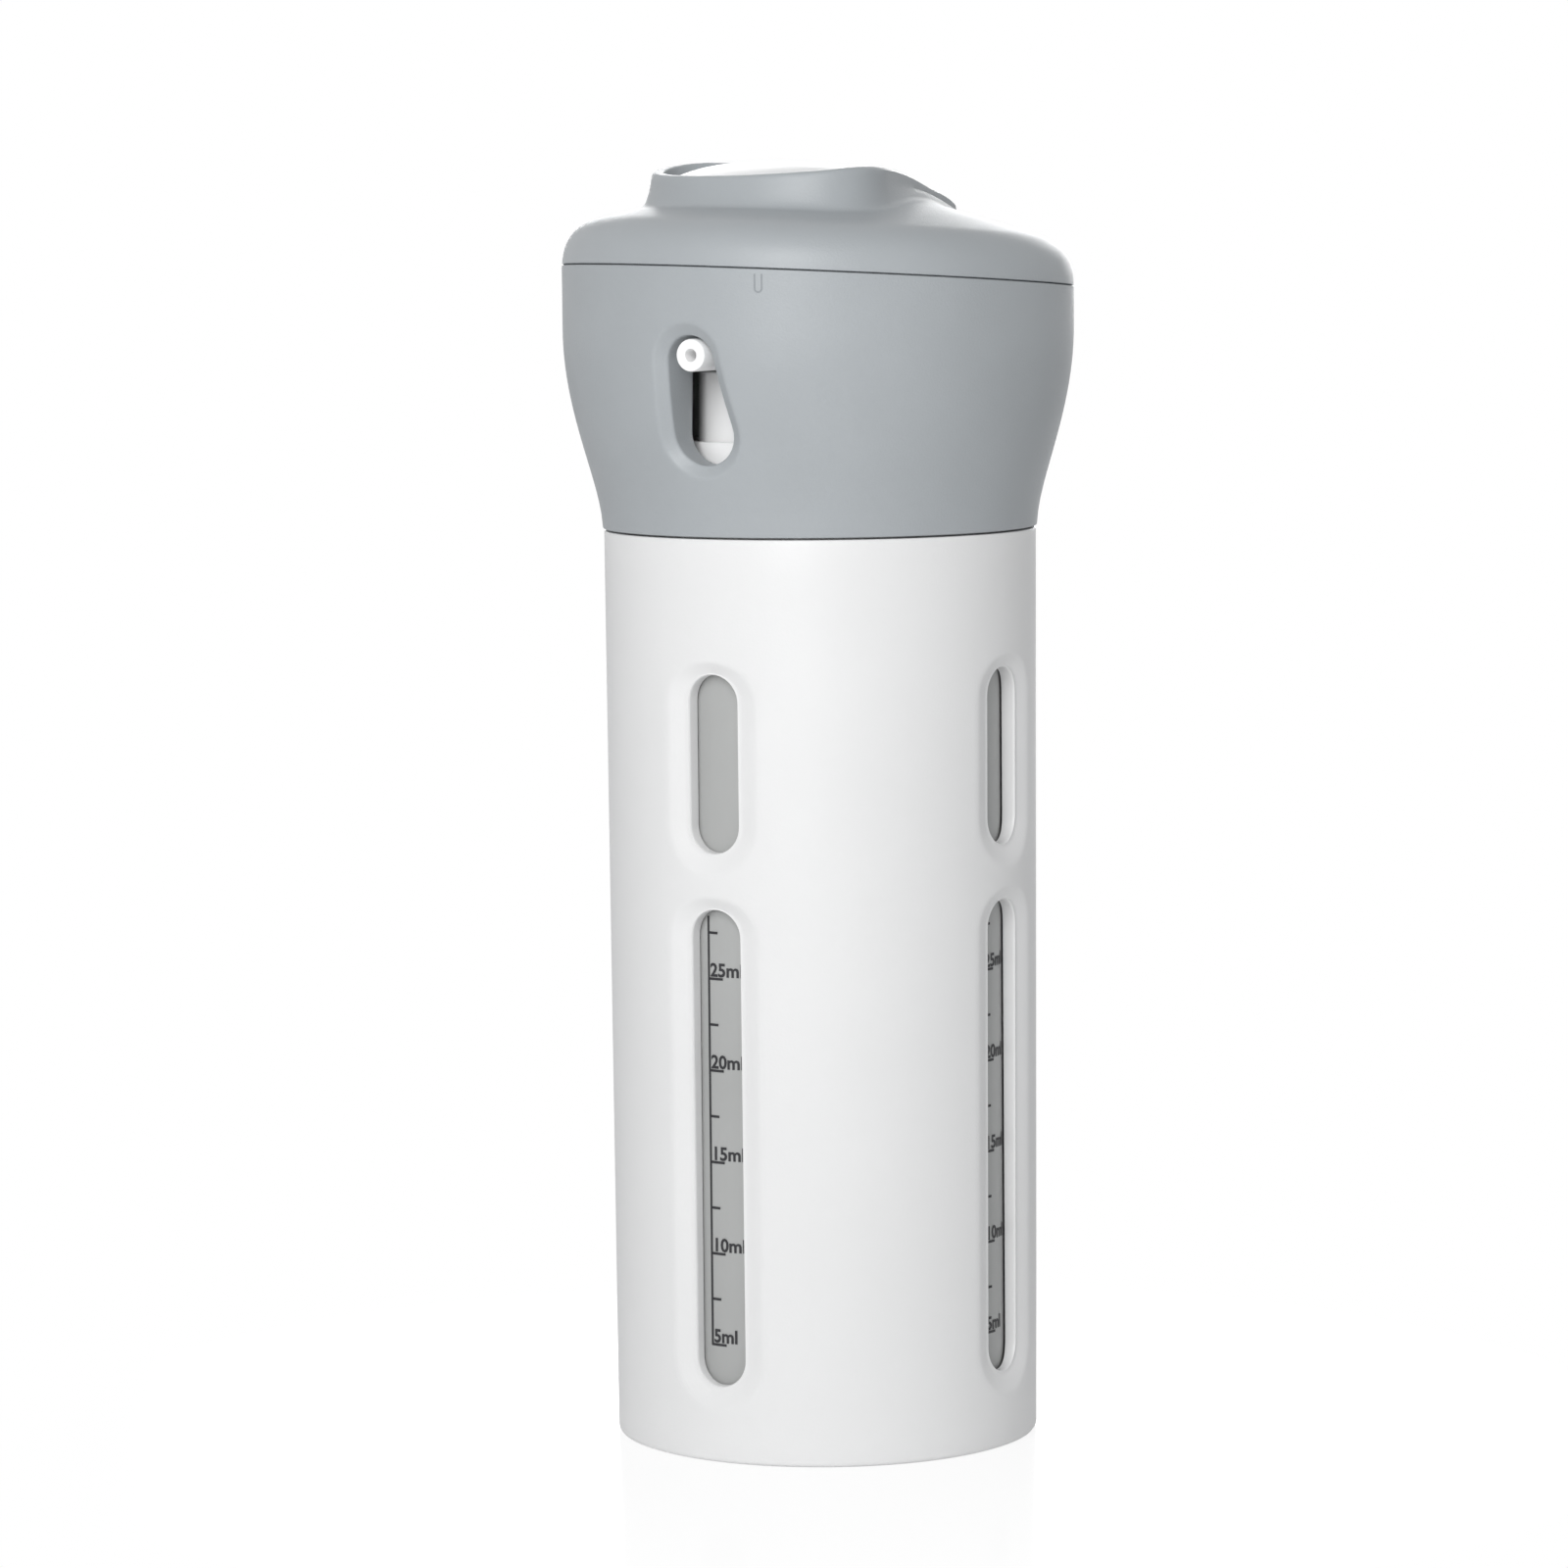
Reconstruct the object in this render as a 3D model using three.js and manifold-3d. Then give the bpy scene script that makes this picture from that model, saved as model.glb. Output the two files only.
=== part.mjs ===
// A travel dispenser: four pump bottles stand in one windowed case, under a turning head.
// The head carries one nozzle, and a drop-shaped push button works the pump below the nozzle.
// Millimetres, +Z up. The origin is the centre of the base, and the nozzle faces -Y.

import * as THREE from 'three'
import { mergeVertices } from 'three/addons/utils/BufferGeometryUtils.js'
import Module from 'manifold-3d'

const wasm = await Module()
wasm.setup()

// Clearances
const gap = 0.3 // between pieces that touch or slide
const weld = 1e-5 // vertices closer than this are one
const overcut = 1 // how far a cut runs past the surface it opens

// Bottles
const bottleCount = 4
const bottleRadius = 12.3
const bottleWall = 1.75
const bottleSpace = 1.27 // between two neighbouring bottles
const bottleHeight = 148.2
const bottleNeckHeight = 5.9
const bottleShoulderHeight = 5.6
const bottleNeckFoot = bottleHeight - bottleNeckHeight // where the neck starts, above the bottle's foot
const bottleBodyTop = bottleNeckFoot - bottleShoulderHeight // where the straight body ends, above the foot
const bottleNeckRadius = 7.5
const bottleNeckWall = 1
const bottleFloor = 1.1
const footRecess = 0.6

// Case
const floorThickness = 2
const caseHeight = 143.4 // up to the joint with the head
const caseWall = 2.35
const caseDraft = 0.67 // the base is this much smaller than the top
const caseEdge = 0.9
const standWidth = 6 // of the ring that the case stands on
const standHeight = 0.8
const neckClearance = 0.3 // round the bottles as they come out
const neckWall = 0.9
const neckHeight = 6.6
const slotWidth = 8.5
const slots = [{ low: 11.9, high: 86.2 }, { low: 95, high: 122.5 }]
const scoopDepth = 1.7 // of the dished surround of each slot
const scoopSide = 3 // how far the surround reaches past the slot, at its sides
const scoopLow = 3.3
const scoopHigh = 1.6

// Bottle holder
const holderDrop = 7.9 // of its underside below the case's joint
const holderThickness = 2.5
const padWidth = 8
const padReach = 6
const padHeight = 4

// Pump, from the bottle's neck upwards
const gasketThickness = 0.7
const flangeThickness = 0.9
const closurePlate = 1
const closureRim = 4 // of the rim above the plate: the actuator sinks into it
const closureWall = 0.8
const closureWeb = 1.4
const closureOuterWall = 1
const actuatorWall = 0.8
const actuatorTop = 1.2
const actuatorEdge = 0.5
const actuatorLap = 0.7 // of the skirt inside the rim at rest
const socketDepth = 2.8
const socketWall = 1.3
const stroke = 10.4
const stemRadius = 2
const stemBore = 1
const outletRadius = 1
const pistonRadius = 3.9
const pistonLength = 2.8
const pistonGroove = 0.5
const housingWall = 0.8
const housingLength = 18.5 // from the flange to the floor of the barrel
const chamberRadius = 1.8
const chamberDepth = 3.2
const throatRadius = 0.9
const throatLength = 1.5
const nippleLength = 5.5
const nippleWall = 0.7
const ballRadius = 1.35
const tubeRadius = 1.6
const tubeBore = 0.9
const tubeFoot = 2.2 // above the inside floor of the bottle
const springRadius = 3
const wireRadius = 0.35
const springTurns = 3.5

// Turning ring and collar of the head
const ringWall = 0.8
const ringBead = 0.4
const ringBeadHeight = 2.3
const ringBeadDrop = 0.9 // from the flange's underside down to the bead's top
const ringFlange = 1.5
const collarLipWall = 0.96
const collarProud = 0.19 // of the collar over the case
const collarWall = 2
const collarLedge = 1.5
const headFlare = 5.95 // the head's radius less the collar's at its foot
const flareEase = 7.3 // how high the flare starts to swell above the foot
const flareTop = 8 // how far below the seam the flare ends
const flareReach = 21.5
const seamAbove = 11.36 // of the seam above the nozzle, on the axis

// Window and chute of the nozzle
const nozzleRadius = 2.5
const nozzleBore = 0.95
const nozzleSet = 0.1 // of the nozzle above the spout's underside
const nozzleBack = 1.1 // of the nozzle's face behind the head's surface
const nozzleSwing = 1.8 // degrees
const windowTopRadius = 4
const windowLowRadius = 5.15
const windowTopDrop = 1 // of the upper arc's centre below the nozzle
const windowLowDrop = 1.3 // of the lower arc's centre below the pressed nozzle
const windowTopShift = 0.2 // sideways
const windowLowShift = 1.1
const bevelWidth = 1.8
const bevelDepth = 1.1
const chuteWall = 1.2
const chuteDepth = 9.6 // of the chute's inner end behind the head's surface

// Cap
const capTilt = 3.45 // degrees, of the seam
const capTurn = -24.8 // degrees, of the drop's round end from the front
const seamWidth = 0.3
const shoulderRun = 6.1 // from the head's surface in to the end of the shoulder's curve
const shoulderRise = 7.75
const creaseRun = 8.6
const creaseRise = 8.45
const domeSlope = 0.256
const domeCentre = 14 // radius of the flat in the middle, which the well removes
const capWall = 2
const spigotGap = 0.6
const spigotWall = 1.3
const spigotDepth = 4

// Raised drop on the cap, and its wave-shaped top
const dropRadius = 27.3
const dropTail = 27.5
const dropCorner = 73.5 // degrees from the round end to the corner of each flat
const cornerRound = 10
const tailRound = 2.5
const dropTaper = 1.6 // the outline shrinks by this much from foot to top
const dropFoot = 6.5
const dropTop = 19
const waveLean = 1.2 // degrees, sideways
const wave = [[32, 13.4], [26, 14.1], [16, 15.6], [6, 17], [-4, 16.7], [-15, 14.9], [-24, 13.1], [-30, 10.4]]

// Button and its well
const rimWidth = 3.3 // from the drop's foot in to the well
const wellStep = 1 // the well is this much wider below its shoulder
const wellShoulder = 3 // above the seam
const guideDepth = 6.5 // below the seam
const guideWall = 1.3
const buttonFlange = 2.5
const buttonWall = 1.5
const buttonTop = 2
const buttonCrown = [[0, -1], [1.2, -0.3], [4, 0.1], [9, 0.35]] // inset and height over the wave
const postRadius = 3.5
const postWall = 1.1
const postSocket = 8
const spoutRadius = 11
const spoutPlate = 2.2
const spoutNeck = 4.3

// Facets
const shellSides = 40
const ringSides = 28
const bottleSides = 16
const closureSides = 16
const pumpSides = 8
const tubeSides = 6
const windowSides = 16
const curveSteps = 6

// Sizes that follow
const bottleCircle = (bottleRadius + bottleSpace / 2) / Math.sin(Math.PI / bottleCount)
const bottleFoot = floorThickness + gap
const bottleTop = bottleFoot + bottleHeight
const neckBore = bottleCircle + bottleRadius + neckClearance
const neckRadius = neckBore + neckWall
const neckTop = caseHeight + neckHeight
const ringBore = neckRadius + gap
const ringRadius = ringBore + ringWall
const collarLip = ringRadius + gap
const collarFoot = collarLip + collarLipWall
const caseRadius = collarFoot - collarProud
const headRadius = collarFoot + headFlare
const gasketFoot = bottleTop + gap
const flangeFoot = gasketFoot + gasketThickness + gap
const flangeTop = flangeFoot + flangeThickness
const plateTop = flangeTop + gap + closurePlate
const rimTop = plateTop + closureRim
const closureInner = bottleNeckRadius + gap
const closureInnerWall = closureInner + closureWall
const skirtInner = closureInnerWall + gap
const skirtRadius = skirtInner + actuatorWall
const closureRadius = skirtRadius + gap + closureOuterWall
const socketFoot = plateTop + gap + stroke
const actuatorPlate = socketFoot + socketDepth
const actuatorHeight = actuatorPlate + actuatorTop
const skirtFoot = rimTop - actuatorLap
const webTop = skirtFoot - stroke - gap
const barrelRadius = pistonRadius + gap
const housingRadius = barrelRadius + housingWall
const barrelFloor = flangeTop - housingLength
const chamberFloor = barrelFloor - chamberDepth
const throatFoot = chamberFloor - throatLength
const nippleBore = tubeRadius + gap
const nippleRadius = nippleBore + nippleWall
const nippleFoot = throatFoot - nippleLength
const gasketRadius = bottleNeckRadius - gap
const spoutFoot = actuatorHeight + gap
const nozzleHeight = spoutFoot + nozzleRadius + nozzleSet
const seamHeight = nozzleHeight + seamAbove
const collarFootHeight = caseHeight + gap
const holderFoot = caseHeight - holderDrop
const wellInset = rimWidth
const shoulderHeight = seamHeight + wellShoulder

// Materials
const paint = (color, roughness, metalness = 0) => new THREE.MeshStandardMaterial({ color, roughness, metalness })
const greyPlastic = paint(0xa9adb1, 0.5)
const whitePlastic = paint(0xf2f2f0, 0.45)
const bottlePlastic = paint(0xc4c6c6, 0.35)
const pumpPlastic = paint(0xf4f4f4, 0.4)
const tubePlastic = paint(0xe6e8e8, 0.4)
const softRubber = paint(0xd8d8d4, 0.8)
const steel = paint(0xb8bcc0, 0.3, 1)

// Closed solids from three.js geometry

function solid (geometry) {
  const bare = new THREE.BufferGeometry()
  bare.setAttribute('position', geometry.getAttribute('position'))
  bare.setIndex(geometry.index)
  const merged = mergeVertices(bare, weld)
  const corners = merged.index.array
  const kept = []
  for (let i = 0; i < corners.length; i += 3) {
    const [a, b, c] = corners.slice(i, i + 3)
    if (a !== b && b !== c && c !== a) kept.push(a, b, c)
  }
  const vertProperties = new Float32Array(merged.getAttribute('position').array)
  return new wasm.Manifold(new wasm.Mesh({ numProp: 3, vertProperties, triVerts: new Uint32Array(kept) }))
}

function geometryOf (body) {
  const mesh = body.getMesh()
  const geometry = new THREE.BufferGeometry()
  geometry.setAttribute('position', new THREE.BufferAttribute(new Float32Array(mesh.vertProperties), 3))
  geometry.setIndex(new THREE.BufferAttribute(new Uint32Array(mesh.triVerts), 1))
  return geometry
}

// A profile of [radius, height] pairs that starts and ends on the axis or closes on itself
function revolve (profile, sides) {
  const first = profile[0]
  const last = profile[profile.length - 1]
  const closed = first[0] === 0 && last[0] === 0 ? profile : [...profile, first]
  const points = closed.map(([radius, height]) => new THREE.Vector2(radius, height))
  return solid(new THREE.LatheGeometry(points, sides).rotateX(Math.PI / 2))
}

// A skin over rings of equal length, closed by a fan from the middle of each end ring
function loft (rings) {
  const count = rings[0].length
  const middle = (ring) => ring.reduce((sum, point) => sum.add(point), new THREE.Vector3()).divideScalar(count)
  const points = [...rings.flat(), middle(rings[0]), middle(rings[rings.length - 1])]
  const startMiddle = points.length - 2
  const endMiddle = points.length - 1
  const lastRing = (rings.length - 1) * count
  const faces = []
  for (let i = 0; i < count; i++) {
    const next = (i + 1) % count
    faces.push(startMiddle, next, i)
    faces.push(endMiddle, lastRing + i, lastRing + next)
    for (let foot = 0; foot < lastRing; foot += count) {
      faces.push(foot + i, foot + next, foot + count + next)
      faces.push(foot + i, foot + count + next, foot + count + i)
    }
  }
  const geometry = new THREE.BufferGeometry().setFromPoints(points)
  geometry.setIndex(faces)
  return solid(geometry)
}

function box (width, depth, height, x, y, z) {
  return solid(new THREE.BoxGeometry(width, depth, height).translate(x, y, z + height / 2))
}

function rod (radius, length, sides) {
  return solid(new THREE.CylinderGeometry(radius, radius, length, sides).rotateX(Math.PI / 2))
}

function turned (body, degrees) {
  return body.rotate([0, 0, degrees])
}

const angleOf = (degrees) => degrees * Math.PI / 180

// Case: a drafted sleeve with a floor, a neck for the head, and two slots before each bottle

function slotRing (slot, distance) {
  const flare = Math.max(0, distance - (caseRadius - scoopDepth)) / scoopDepth
  const half = slotWidth / 2
  const ring = []
  for (let i = 0; i < windowSides; i++) {
    const angle = (i / windowSides) * 2 * Math.PI
    const upper = Math.sin(angle) >= 0
    const end = half + flare * (upper ? scoopHigh : scoopLow)
    const centre = upper ? slot.high - half : slot.low + half
    const side = half + flare * scoopSide * 2
    ring.push(new THREE.Vector3(side * Math.cos(angle), -distance, centre + end * Math.sin(angle)))
  }
  return ring
}

function slotCutter (slot) {
  const dish = caseRadius - scoopDepth
  return loft([dish - caseWall, dish, caseRadius + overcut].map((distance) => slotRing(slot, distance)))
}

function pad () {
  const outer = caseRadius - caseWall / 2
  const top = holderFoot - gap
  const inner = neckBore - gap - padReach + 2
  const reach = outer - inner
  const block = box(padWidth, reach, padHeight, 0, -(inner + reach / 2), top - padHeight)
  const slope = new THREE.Shape([
    new THREE.Vector2(-inner + overcut, top - padHeight - overcut),
    new THREE.Vector2(-outer, top - padHeight - overcut),
    new THREE.Vector2(-outer, top - padHeight),
    new THREE.Vector2(-inner + overcut, top - gap * 3)
  ])
  const wedge = new THREE.ExtrudeGeometry(slope, { depth: padWidth * 2, bevelEnabled: false })
  wedge.translate(0, 0, -padWidth).rotateY(Math.PI / 2).rotateX(Math.PI / 2)
  return block.subtract(solid(wedge))
}

function caseSolid () {
  const base = caseRadius - caseDraft
  const inside = base - caseWall
  const stand = base - standWidth
  let body = revolve([
    [0, standHeight],
    [stand - standHeight, standHeight],
    [stand, 0],
    [base - caseEdge, 0],
    [base - caseEdge / 3, caseEdge / 3],
    [base, caseEdge],
    [caseRadius, caseHeight - gap],
    [caseRadius - gap, caseHeight],
    [neckRadius, caseHeight],
    [neckRadius, neckTop - gap],
    [neckRadius - gap, neckTop],
    [neckBore, neckTop],
    [neckBore, caseHeight - neckWall],
    [caseRadius - caseWall, caseHeight - neckWall - (caseRadius - caseWall - neckBore) * 2],
    [inside, floorThickness + overcut],
    [inside - overcut, floorThickness],
    [0, floorThickness]
  ], shellSides)
  for (let i = 0; i < bottleCount; i++) {
    const turn = i * 360 / bottleCount
    for (const slot of slots) body = body.subtract(turned(slotCutter(slot), turn))
    body = body.add(turned(pad(), turn + 180 / bottleCount))
  }
  return body
}

// Bottle holder: a plate with a bay for each bottle, resting on the case's pads
function holderSolid () {
  const top = holderFoot + holderThickness
  const radius = neckBore - gap
  const edge = gap * 2
  let body = revolve([[0, holderFoot], [radius, holderFoot], [radius, top - edge], [radius - edge, top], [0, top]], ringSides)
  for (let i = 0; i < bottleCount; i++) {
    const bay = rod(bottleRadius + gap, holderThickness * 4, bottleSides)
    body = body.subtract(turned(bay.translate([0, -bottleCircle, holderFoot]), i * 360 / bottleCount))
  }
  return body
}

// Bottle and pump: each is built on the bottle's own axis

function bottleSolid () {
  const foot = bottleFoot
  const floor = foot + footRecess + bottleFloor
  const bore = bottleRadius - bottleWall
  const edge = bottleWall
  const bodyTop = foot + bottleBodyTop
  const neckFoot = foot + bottleNeckFoot
  const neckInner = bottleNeckRadius - bottleNeckWall
  const rise = neckFoot - bodyTop
  return revolve([
    [0, foot + footRecess],
    [bore - edge * 2, foot + footRecess],
    [bore - edge, foot],
    [bottleRadius - edge, foot],
    [bottleRadius, foot + edge],
    [bottleRadius, bodyTop],
    [bottleRadius - edge, bodyTop + rise * 0.5],
    [bottleNeckRadius, neckFoot],
    [bottleNeckRadius, bottleTop],
    [neckInner, bottleTop],
    [neckInner, neckFoot - edge / 2],
    [bore - edge, bodyTop + rise * 0.35],
    [bore, bodyTop - edge],
    [bore, floor + edge],
    [bore - edge, floor],
    [0, floor]
  ], bottleSides)
}

function gasketSolid () {
  const inner = housingRadius + gap
  const top = gasketFoot + gasketThickness
  return revolve([[inner, gasketFoot], [gasketRadius, gasketFoot], [gasketRadius, top], [inner, top]], pumpSides)
}

function housingSolid () {
  return revolve([
    [nippleBore, nippleFoot],
    [nippleRadius, nippleFoot],
    [nippleRadius, chamberFloor],
    [housingRadius, barrelFloor - housingWall],
    [housingRadius, flangeFoot],
    [gasketRadius, flangeFoot],
    [gasketRadius, flangeTop],
    [barrelRadius, flangeTop],
    [barrelRadius, barrelFloor],
    [chamberRadius, barrelFloor],
    [chamberRadius, chamberFloor],
    [throatRadius, chamberFloor],
    [throatRadius, throatFoot],
    [nippleBore, throatFoot]
  ], pumpSides)
}

function closureSolid () {
  const foot = webTop - closureWeb
  const mouth = skirtRadius + gap
  return revolve([
    [closureInner, foot],
    [closureRadius, foot],
    [closureRadius, rimTop],
    [mouth, rimTop],
    [mouth, webTop],
    [closureInnerWall, webTop],
    [closureInnerWall, plateTop],
    [stemRadius + gap, plateTop],
    [stemRadius + gap, flangeTop + gap],
    [closureInner, flangeTop + gap]
  ], closureSides)
}

function actuatorSolid () {
  const socket = stemRadius + gap
  return revolve([
    [skirtInner, skirtFoot],
    [skirtRadius, skirtFoot],
    [skirtRadius, actuatorHeight - actuatorEdge],
    [skirtRadius - actuatorEdge, actuatorHeight],
    [outletRadius, actuatorHeight],
    [outletRadius, actuatorPlate],
    [socket, actuatorPlate],
    [socket, socketFoot],
    [socket + socketWall, socketFoot],
    [socket + socketWall, actuatorPlate],
    [skirtInner, actuatorPlate]
  ], closureSides)
}

function pistonSolid () {
  const foot = flangeTop - pistonLength
  const third = pistonLength / 3
  const waist = pistonRadius - pistonGroove
  return revolve([
    [stemBore, foot],
    [pistonRadius, foot],
    [waist, foot + third],
    [waist, flangeTop - third],
    [pistonRadius, flangeTop],
    [stemRadius, flangeTop],
    [stemRadius, actuatorPlate - gap],
    [stemBore, actuatorPlate - gap]
  ], pumpSides)
}

function tubeSolid () {
  const foot = bottleFoot + footRecess + bottleFloor + tubeFoot
  const top = throatFoot - gap
  return revolve([[tubeBore, foot], [tubeRadius, foot], [tubeRadius, top], [tubeBore, top]], tubeSides)
}

function ballSolid () {
  const ball = new THREE.SphereGeometry(ballRadius, tubeSides, tubeSides - 2)
  return solid(ball.translate(0, 0, chamberFloor + ballRadius - gap / 6))
}

class Helix extends THREE.Curve {
  constructor (radius, foot, top, turns) {
    super()
    Object.assign(this, { radius, foot, top, turns })
  }

  getPoint (t) {
    const angle = t * this.turns * 2 * Math.PI
    const height = this.foot + t * (this.top - this.foot)
    return new THREE.Vector3(this.radius * Math.cos(angle), this.radius * Math.sin(angle), height)
  }
}

function springSolid () {
  const lift = wireRadius + gap
  const path = new Helix(springRadius, barrelFloor + lift, flangeTop - pistonLength - lift, springTurns)
  const wire = new THREE.Shape(new THREE.EllipseCurve(0, 0, wireRadius, wireRadius).getPoints(4).slice(0, 4))
  const steps = springTurns * curveSteps
  return solid(new THREE.ExtrudeGeometry(wire, { steps, bevelEnabled: false, extrudePath: path }))
}

// Turning ring: grips the case's neck and carries the collar
function ringSolid () {
  const flangeUnder = neckTop + gap
  const beadTop = flangeUnder - ringBeadDrop + gap
  const beadFoot = beadTop - ringBeadHeight
  const top = flangeUnder + ringFlange
  return revolve([
    [ringBore, collarFootHeight],
    [ringRadius, collarFootHeight],
    [ringRadius, beadFoot - ringBead / 2],
    [ringRadius + ringBead, beadFoot],
    [ringRadius + ringBead, beadTop],
    [ringRadius, beadTop + ringBead / 2],
    [ringRadius, top],
    [neckBore, top],
    [neckBore, flangeUnder],
    [ringBore, flangeUnder]
  ], ringSides)
}

// Collar: the flared grey shell of the head, with the window and chute of the nozzle

const flareCurve = new THREE.CubicBezierCurve(
  new THREE.Vector2(collarFoot, collarFootHeight),
  new THREE.Vector2(collarFoot + collarProud, collarFootHeight + flareEase),
  new THREE.Vector2(headRadius, seamHeight - flareReach),
  new THREE.Vector2(headRadius, seamHeight - flareTop)
)
const flare = flareCurve.getPoints(curveSteps + 2)

function headRadiusAt (height) {
  for (let i = 1; i < flare.length; i++) {
    const low = flare[i - 1]
    const high = flare[i]
    if (height <= high.y) return low.x + (high.x - low.x) * (height - low.y) / (high.y - low.y)
  }
  return headRadius
}

// The window's outline: a small arc over a larger one, with straight sides
function windowRing (grow, depthAt) {
  const highCentre = nozzleHeight - windowTopDrop
  const lowCentre = nozzleHeight - stroke - windowLowDrop
  const ring = []
  for (let i = 0; i < windowSides; i++) {
    const angle = (i / windowSides) * 2 * Math.PI
    const upper = Math.sin(angle) >= 0
    const radius = (upper ? windowTopRadius : windowLowRadius) + grow
    const shift = upper ? windowTopShift : windowLowShift
    const x = shift + radius * Math.cos(angle)
    const z = (upper ? highCentre : lowCentre) + radius * Math.sin(angle)
    ring.push(new THREE.Vector3(x, -depthAt(x, z), z))
  }
  return ring
}

const surfaceAt = (x, z) => Math.sqrt(headRadiusAt(z) ** 2 - x * x)

function chuteSolid () {
  const inner = headRadius - chuteDepth
  const wall = windowRing(chuteWall, () => inner)
  return loft([wall, windowRing(chuteWall, (x, z) => surfaceAt(x, z) - collarWall / 2)])
}

function windowCutter () {
  const inner = headRadius - chuteDepth - overcut
  const grow = bevelWidth * (bevelDepth + overcut) / bevelDepth
  return loft([
    windowRing(0, () => inner),
    windowRing(0, (x, z) => surfaceAt(x, z) - bevelDepth),
    windowRing(grow, (x, z) => surfaceAt(x, z) + overcut),
    windowRing(grow, () => headRadius + overcut * 2)
  ])
}

// The cap's own frame: -Y is the drop's round end, and Z is square to the seam
const capFrame = new THREE.Matrix4()
  .makeTranslation(0, 0, seamHeight)
  .multiply(new THREE.Matrix4().makeRotationZ(angleOf(capTurn)))
  .multiply(new THREE.Matrix4().makeRotationX(-angleOf(capTilt)))
const capPlace = (body) => body.transform(capFrame.toArray())

function collarSolid () {
  const top = seamHeight + headRadius * 0.2
  const inside = (point) => [point.x - collarWall, point.y]
  const ledgeFoot = neckTop + gap + ringFlange + gap
  const ledgeTop = ledgeFoot + collarLedge
  const innerFlare = flare.filter((point) => point.y > ledgeTop + collarLedge).reverse().map(inside)
  const beadRoom = ringRadius + ringBead + gap
  const lipTop = neckTop + gap - ringBeadDrop + gap - ringBeadHeight - gap
  let body = revolve([
    [collarLip, collarFootHeight],
    ...flare.map((point) => [point.x, point.y]),
    [headRadius, top],
    [headRadius - collarWall, top],
    ...innerFlare,
    [beadRoom, ledgeTop],
    [ringBore, ledgeTop],
    [ringBore, ledgeFoot],
    [beadRoom, ledgeFoot],
    [beadRoom, lipTop],
    [collarLip, lipTop - ringBead]
  ], shellSides)
  body = body.add(chuteSolid()).subtract(windowCutter())
  const above = box(headRadius * 3, headRadius * 3, headRadius, 0, 0, -seamWidth / 2)
  return body.subtract(capPlace(above))
}

// Raised drop: a round end towards -Y and two flats that meet at the tail
function dropOutline (inset) {
  const radius = dropRadius - inset
  const corner = angleOf(dropCorner)
  const cornerPoint = new THREE.Vector2(Math.sin(corner), -Math.cos(corner)).multiplyScalar(dropRadius)
  const along = new THREE.Vector2(-cornerPoint.x, dropTail - cornerPoint.y).normalize()
  const outward = new THREE.Vector2(along.y, -along.x)
  const flat = cornerPoint.dot(outward) - inset
  const facing = Math.atan2(outward.x, -outward.y)
  const edge = facing - Math.acos(flat / radius)
  const meet = new THREE.Vector2(Math.sin(edge), -Math.cos(edge)).multiplyScalar(radius)
  const tail = new THREE.Vector2(0, flat / outward.y)
  const arcEnd = edge - cornerRound / radius
  const afterCorner = meet.clone().addScaledVector(along, cornerRound)
  const beforeTail = tail.clone().addScaledVector(along, -tailRound)
  const outline = new THREE.Path()
  outline.absarc(0, 0, radius, -Math.PI / 2 - arcEnd, -Math.PI / 2 + arcEnd, false)
  outline.quadraticCurveTo(meet.x, meet.y, afterCorner.x, afterCorner.y)
  outline.lineTo(beforeTail.x, beforeTail.y)
  outline.quadraticCurveTo(tail.x, tail.y, -beforeTail.x, beforeTail.y)
  outline.lineTo(-afterCorner.x, afterCorner.y)
  outline.quadraticCurveTo(-meet.x, meet.y, outline.getPoint(0).x, outline.getPoint(0).y)
  const points = outline.getPoints(curveSteps)
  points.pop()
  return points
}

// One ring of the drop in the cap's turn, upright: heightAt gives each point's height
function dropRing (inset, heightAt) {
  const turn = angleOf(capTurn)
  return dropOutline(inset).map((point) => {
    const x = point.x * Math.cos(turn) - point.y * Math.sin(turn)
    const y = point.x * Math.sin(turn) + point.y * Math.cos(turn)
    return new THREE.Vector3(x, y, heightAt(point.x, point.y))
  })
}

function dropPrism (inset, foot, top) {
  return loft([dropRing(inset, () => foot), dropRing(inset, () => top)])
}

const waveCurve = new THREE.SplineCurve(wave.map(([forward, height]) => new THREE.Vector2(-forward, height)))
const wavePoints = waveCurve.getPoints(wave.length * 3)

// Height of the wave over the base, at a place in the drop's own plane
function waveAt (x, y) {
  const next = wavePoints.findIndex((point) => point.x >= y)
  const low = wavePoints[Math.max(0, next - 1)]
  const high = wavePoints[Math.max(1, next)]
  const height = low.y + (high.y - low.y) * (y - low.x) / (high.x - low.x)
  const seam = seamHeight - y * Math.tan(angleOf(capTilt))
  return seam + height - x * Math.tan(angleOf(waveLean))
}

function dropSolid () {
  const foot = loft([
    dropOutline(0).map((point) => new THREE.Vector3(point.x, point.y, dropFoot)),
    dropOutline(dropTaper).map((point) => new THREE.Vector3(point.x, point.y, dropTop))
  ])
  const past = dropRadius + overcut
  const above = new THREE.Shape([
    new THREE.Vector2(-past, dropTop + overcut),
    ...wavePoints.filter((point) => Math.abs(point.x) < past),
    new THREE.Vector2(past, dropTop + overcut)
  ])
  above.moveTo(-past, dropTop + overcut)
  const sweep = new THREE.ExtrudeGeometry(above, { depth: past * 2, bevelEnabled: false })
  sweep.translate(0, 0, -past).rotateY(Math.PI / 2).rotateX(Math.PI / 2).rotateY(angleOf(waveLean))
  return foot.subtract(solid(sweep))
}

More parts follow.
